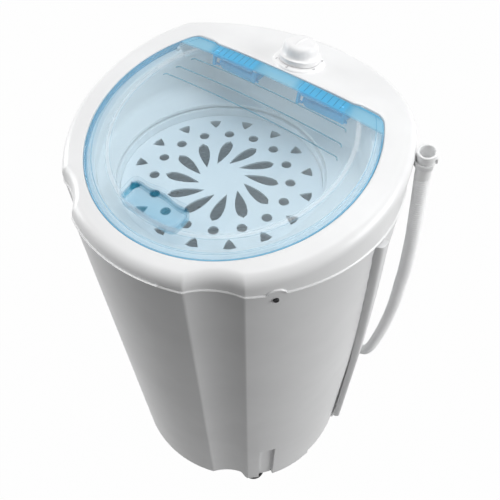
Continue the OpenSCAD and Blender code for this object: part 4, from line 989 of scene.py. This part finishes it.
# ---- feet, clip and screws
def feet():
    """Moulded rubber feet: a pad with rounded edges, a waist and a round stem up to the base."""
    foot_ring, stem_in, stem_top = 176.0, 6.0, 39.9
    for name, angle in (("foot_front_left", -90 - FOOT_ANGLE), ("foot_front_right", -90 + FOOT_ANGLE),
                        ("foot_rear_left", 90 + FOOT_ANGLE), ("foot_rear_right", 90 - FOOT_ANGLE)):
        profile = [(0.02, 0), (FOOT_R - 2.0, 0), (FOOT_R - 0.8, 0.4), (FOOT_R, 1.8), (FOOT_R, FOOT_H - 1.6),
                   (FOOT_R - 0.7, FOOT_H - 0.5), (FOOT_R - 2.0, FOOT_H), (12, FOOT_H),
                   (10.3, FOOT_H + 0.8), (10, FOOT_H + 2.5), (10, stem_top), (0.02, stem_top)]
        turn = math.radians(angle)
        grid = turned(profile, 72)
        way = np.array([math.cos(turn), math.sin(turn), 0.0])
        lean = ramp(grid[..., 2:], FOOT_H - 0.6, FOOT_H + 0.1)
        piece(name + "_rubber", grid + foot_ring * way - lean * (stem_in * way), [weave(len(profile), 72, True)],
              foot_rubber.material, "root", [name])


def clip():
    """Plastic clip on the cover's side: a C-shaped band round the cuff, pushed out where it would dip into the
    cabinet's wall.
    """
    a = np.radians(np.linspace(25, 335, 60))
    r_in, r_out, low, high = 11.0, 13.4, 5.0, 13.0
    s = np.array([(r_in, low + 0.5), (r_in + 0.5, low), (r_out - 0.5, low), (r_out, low + 0.5), (r_out, high - 0.5),
                  (r_out - 0.5, high), (r_in + 0.5, high), (r_in, high - 0.5)])
    grid = np.stack([s[None, :, 0] * np.cos(a)[:, None], s[None, :, 0] * np.sin(a)[:, None],
                     np.broadcast_to(s[:, 1], (60, 8))], -1)
    grid = placed(grid, hose_end, CUFF_AXES)
    over = np.hypot(grid[..., 0], grid[..., 1])
    pull = np.maximum(BODY_R + 0.1 - over, 0) / over
    grid[..., :2] += grid[..., :2] * pull[..., None]
    made = many_tubes("hose_clip_band", [grid], cover_white.material, "root")
    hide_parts("hose_clip")


def screw_heads():
    """Black pan heads with a cross recess: a dome whose face drops in four slots."""
    for name, angle, radius in (("left_front", -90 - SCREW_ANGLE, 211.9), ("right_front", -90 + SCREW_ANGLE, 211.9),
                                ("left_rear", 90 + SCREW_ANGLE, 208.7), ("right_rear", 90 - SCREW_ANGLE, 208.7)):
        rings = np.array([3.4, 3.4, 3.25, 2.9, 2.5, 2.1, 1.7, 1.3, 0.9, 0.5, 0.02])
        up = np.array([-0.2, 1.0, 1.5, 1.9, 2.1, 2.2, 2.28, 2.33, 2.36, 2.38, 2.4])
        grid = turned(np.stack([rings, up], -1), 96)
        x, y = grid[..., 0], grid[..., 1]
        slot = 1 - ramp(np.minimum(np.abs(x), np.abs(y)), 0.35, 0.6)
        inside = 1 - ramp(np.hypot(x, y), 1.9, 2.3)
        grid[..., 2] -= 1.1 * slot * inside
        t = math.radians(angle)
        out = np.array([math.cos(t), math.sin(t), 0.0])
        axes = [(-math.sin(t), math.cos(t), 0), (0, 0, 1), tuple(out)]
        grid = placed(grid, out * (radius + 0.1) + [0, 0, SCREW_Z], axes)
        made = piece("cover_screw_" + name, grid, [weave(len(rings), 96, True)], black_screw.material, "root",
                     ())
        if name == "left_front":
            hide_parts("cover_screws")


feet()
clip()
screw_heads()


# ---- floor, light and background
ROOM_TOP, ROOM_SIDE, FLOOR_WHITE = 0.56, 0.01, 0.04
FLOOR_GLOW, GLOW_SHARE, AIM_Z = 1.06, 0.93, 0.4
LAMPS = (("overhead", (0.1, 0.42, 2.7), 1.4, 19.0), ("right", (2.15, 0.7, 1.25), 1.4, 33.0),
         ("left", (-2.25, -0.75, 1.25), 1.4, 32.0))


def plain_rays(field):
    """1 for rays that see a thing straight, in a gloss or through clear plastic."""
    rays = field.make("ShaderNodeLightPath").socket.node.outputs
    camera, glossy, through = (Field(field.tree, rays[f"Is {kind} Ray"])
                               for kind in ("Camera", "Glossy", "Transmission"))
    return camera.most(glossy).most(through)


def studio():
    """White floor and surroundings that the camera sees as plain white. The room's light is
    brightest overhead; two broad lamps stand at the left and right of the cabinet, and a third
    hangs over it."""
    scene = bpy.context.scene
    scene.view_settings.view_transform = "Standard"
    world = bpy.data.worlds.new("studio")
    scene.world = world
    world.use_nodes = True
    tree = world.node_tree
    ground = tree.nodes["Background"]
    ground.inputs["Color"].default_value = (1, 1, 1, 1)
    start = Field(tree, ground.outputs[0])
    way = start.make("ShaderNodeTexCoord")
    height = start.make("ShaderNodeSeparateXYZ", out=2, i0=way)
    seen = plain_rays(start)
    room = height.most(0.0) * ROOM_TOP + ROOM_SIDE
    tree.links.new((seen + (1 - seen) * room).socket, ground.inputs["Strength"])

    floor_mesh = bpy.data.meshes.new("floor")
    reach = np.linspace(-6, 6, 13)
    x, y = np.meshgrid(reach, reach)
    floor_mesh.from_pydata(np.stack([x, y, np.full_like(x, -0.0005)], -1).reshape(-1, 3).tolist(), [],
                           weave(13, 13).tolist())
    floor = bpy.data.objects.new("floor", floor_mesh)
    scene.collection.objects.link(floor)
    paper = Finish("floor_paper", (FLOOR_WHITE,) * 3, 0.9)
    glow = paper.place.make("ShaderNodeEmission", Color=(1, 1, 1, 1), Strength=FLOOR_GLOW)
    lit = Field(paper.tree, paper.shader.outputs[0])
    mixed = paper.place.make("ShaderNodeMixShader", i0=plain_rays(paper.place) * GLOW_SHARE, i1=lit, i2=glow)
    output = next(n for n in paper.tree.nodes if n.type == "OUTPUT_MATERIAL")
    paper.tree.links.new(mixed.socket, output.inputs["Surface"])
    floor_mesh.materials.append(paper.material)

    for name, at, size, power in LAMPS:
        data = bpy.data.lights.new(name, "AREA")
        data.shape, data.size, data.energy = "SQUARE", size, power
        lamp = bpy.data.objects.new(name, data)
        aim = np.array([0, 0, AIM_Z]) - np.array(at)
        aim = aim / np.linalg.norm(aim)
        side = np.cross(aim, (0, 0, 1.0))
        side = side / np.linalg.norm(side)
        rise = np.cross(side, aim)
        turned_to = Matrix((tuple(side), tuple(rise), tuple(-aim))).transposed().to_4x4()
        lamp.matrix_world = Matrix.Translation(at) @ turned_to
        scene.collection.objects.link(lamp)


studio()
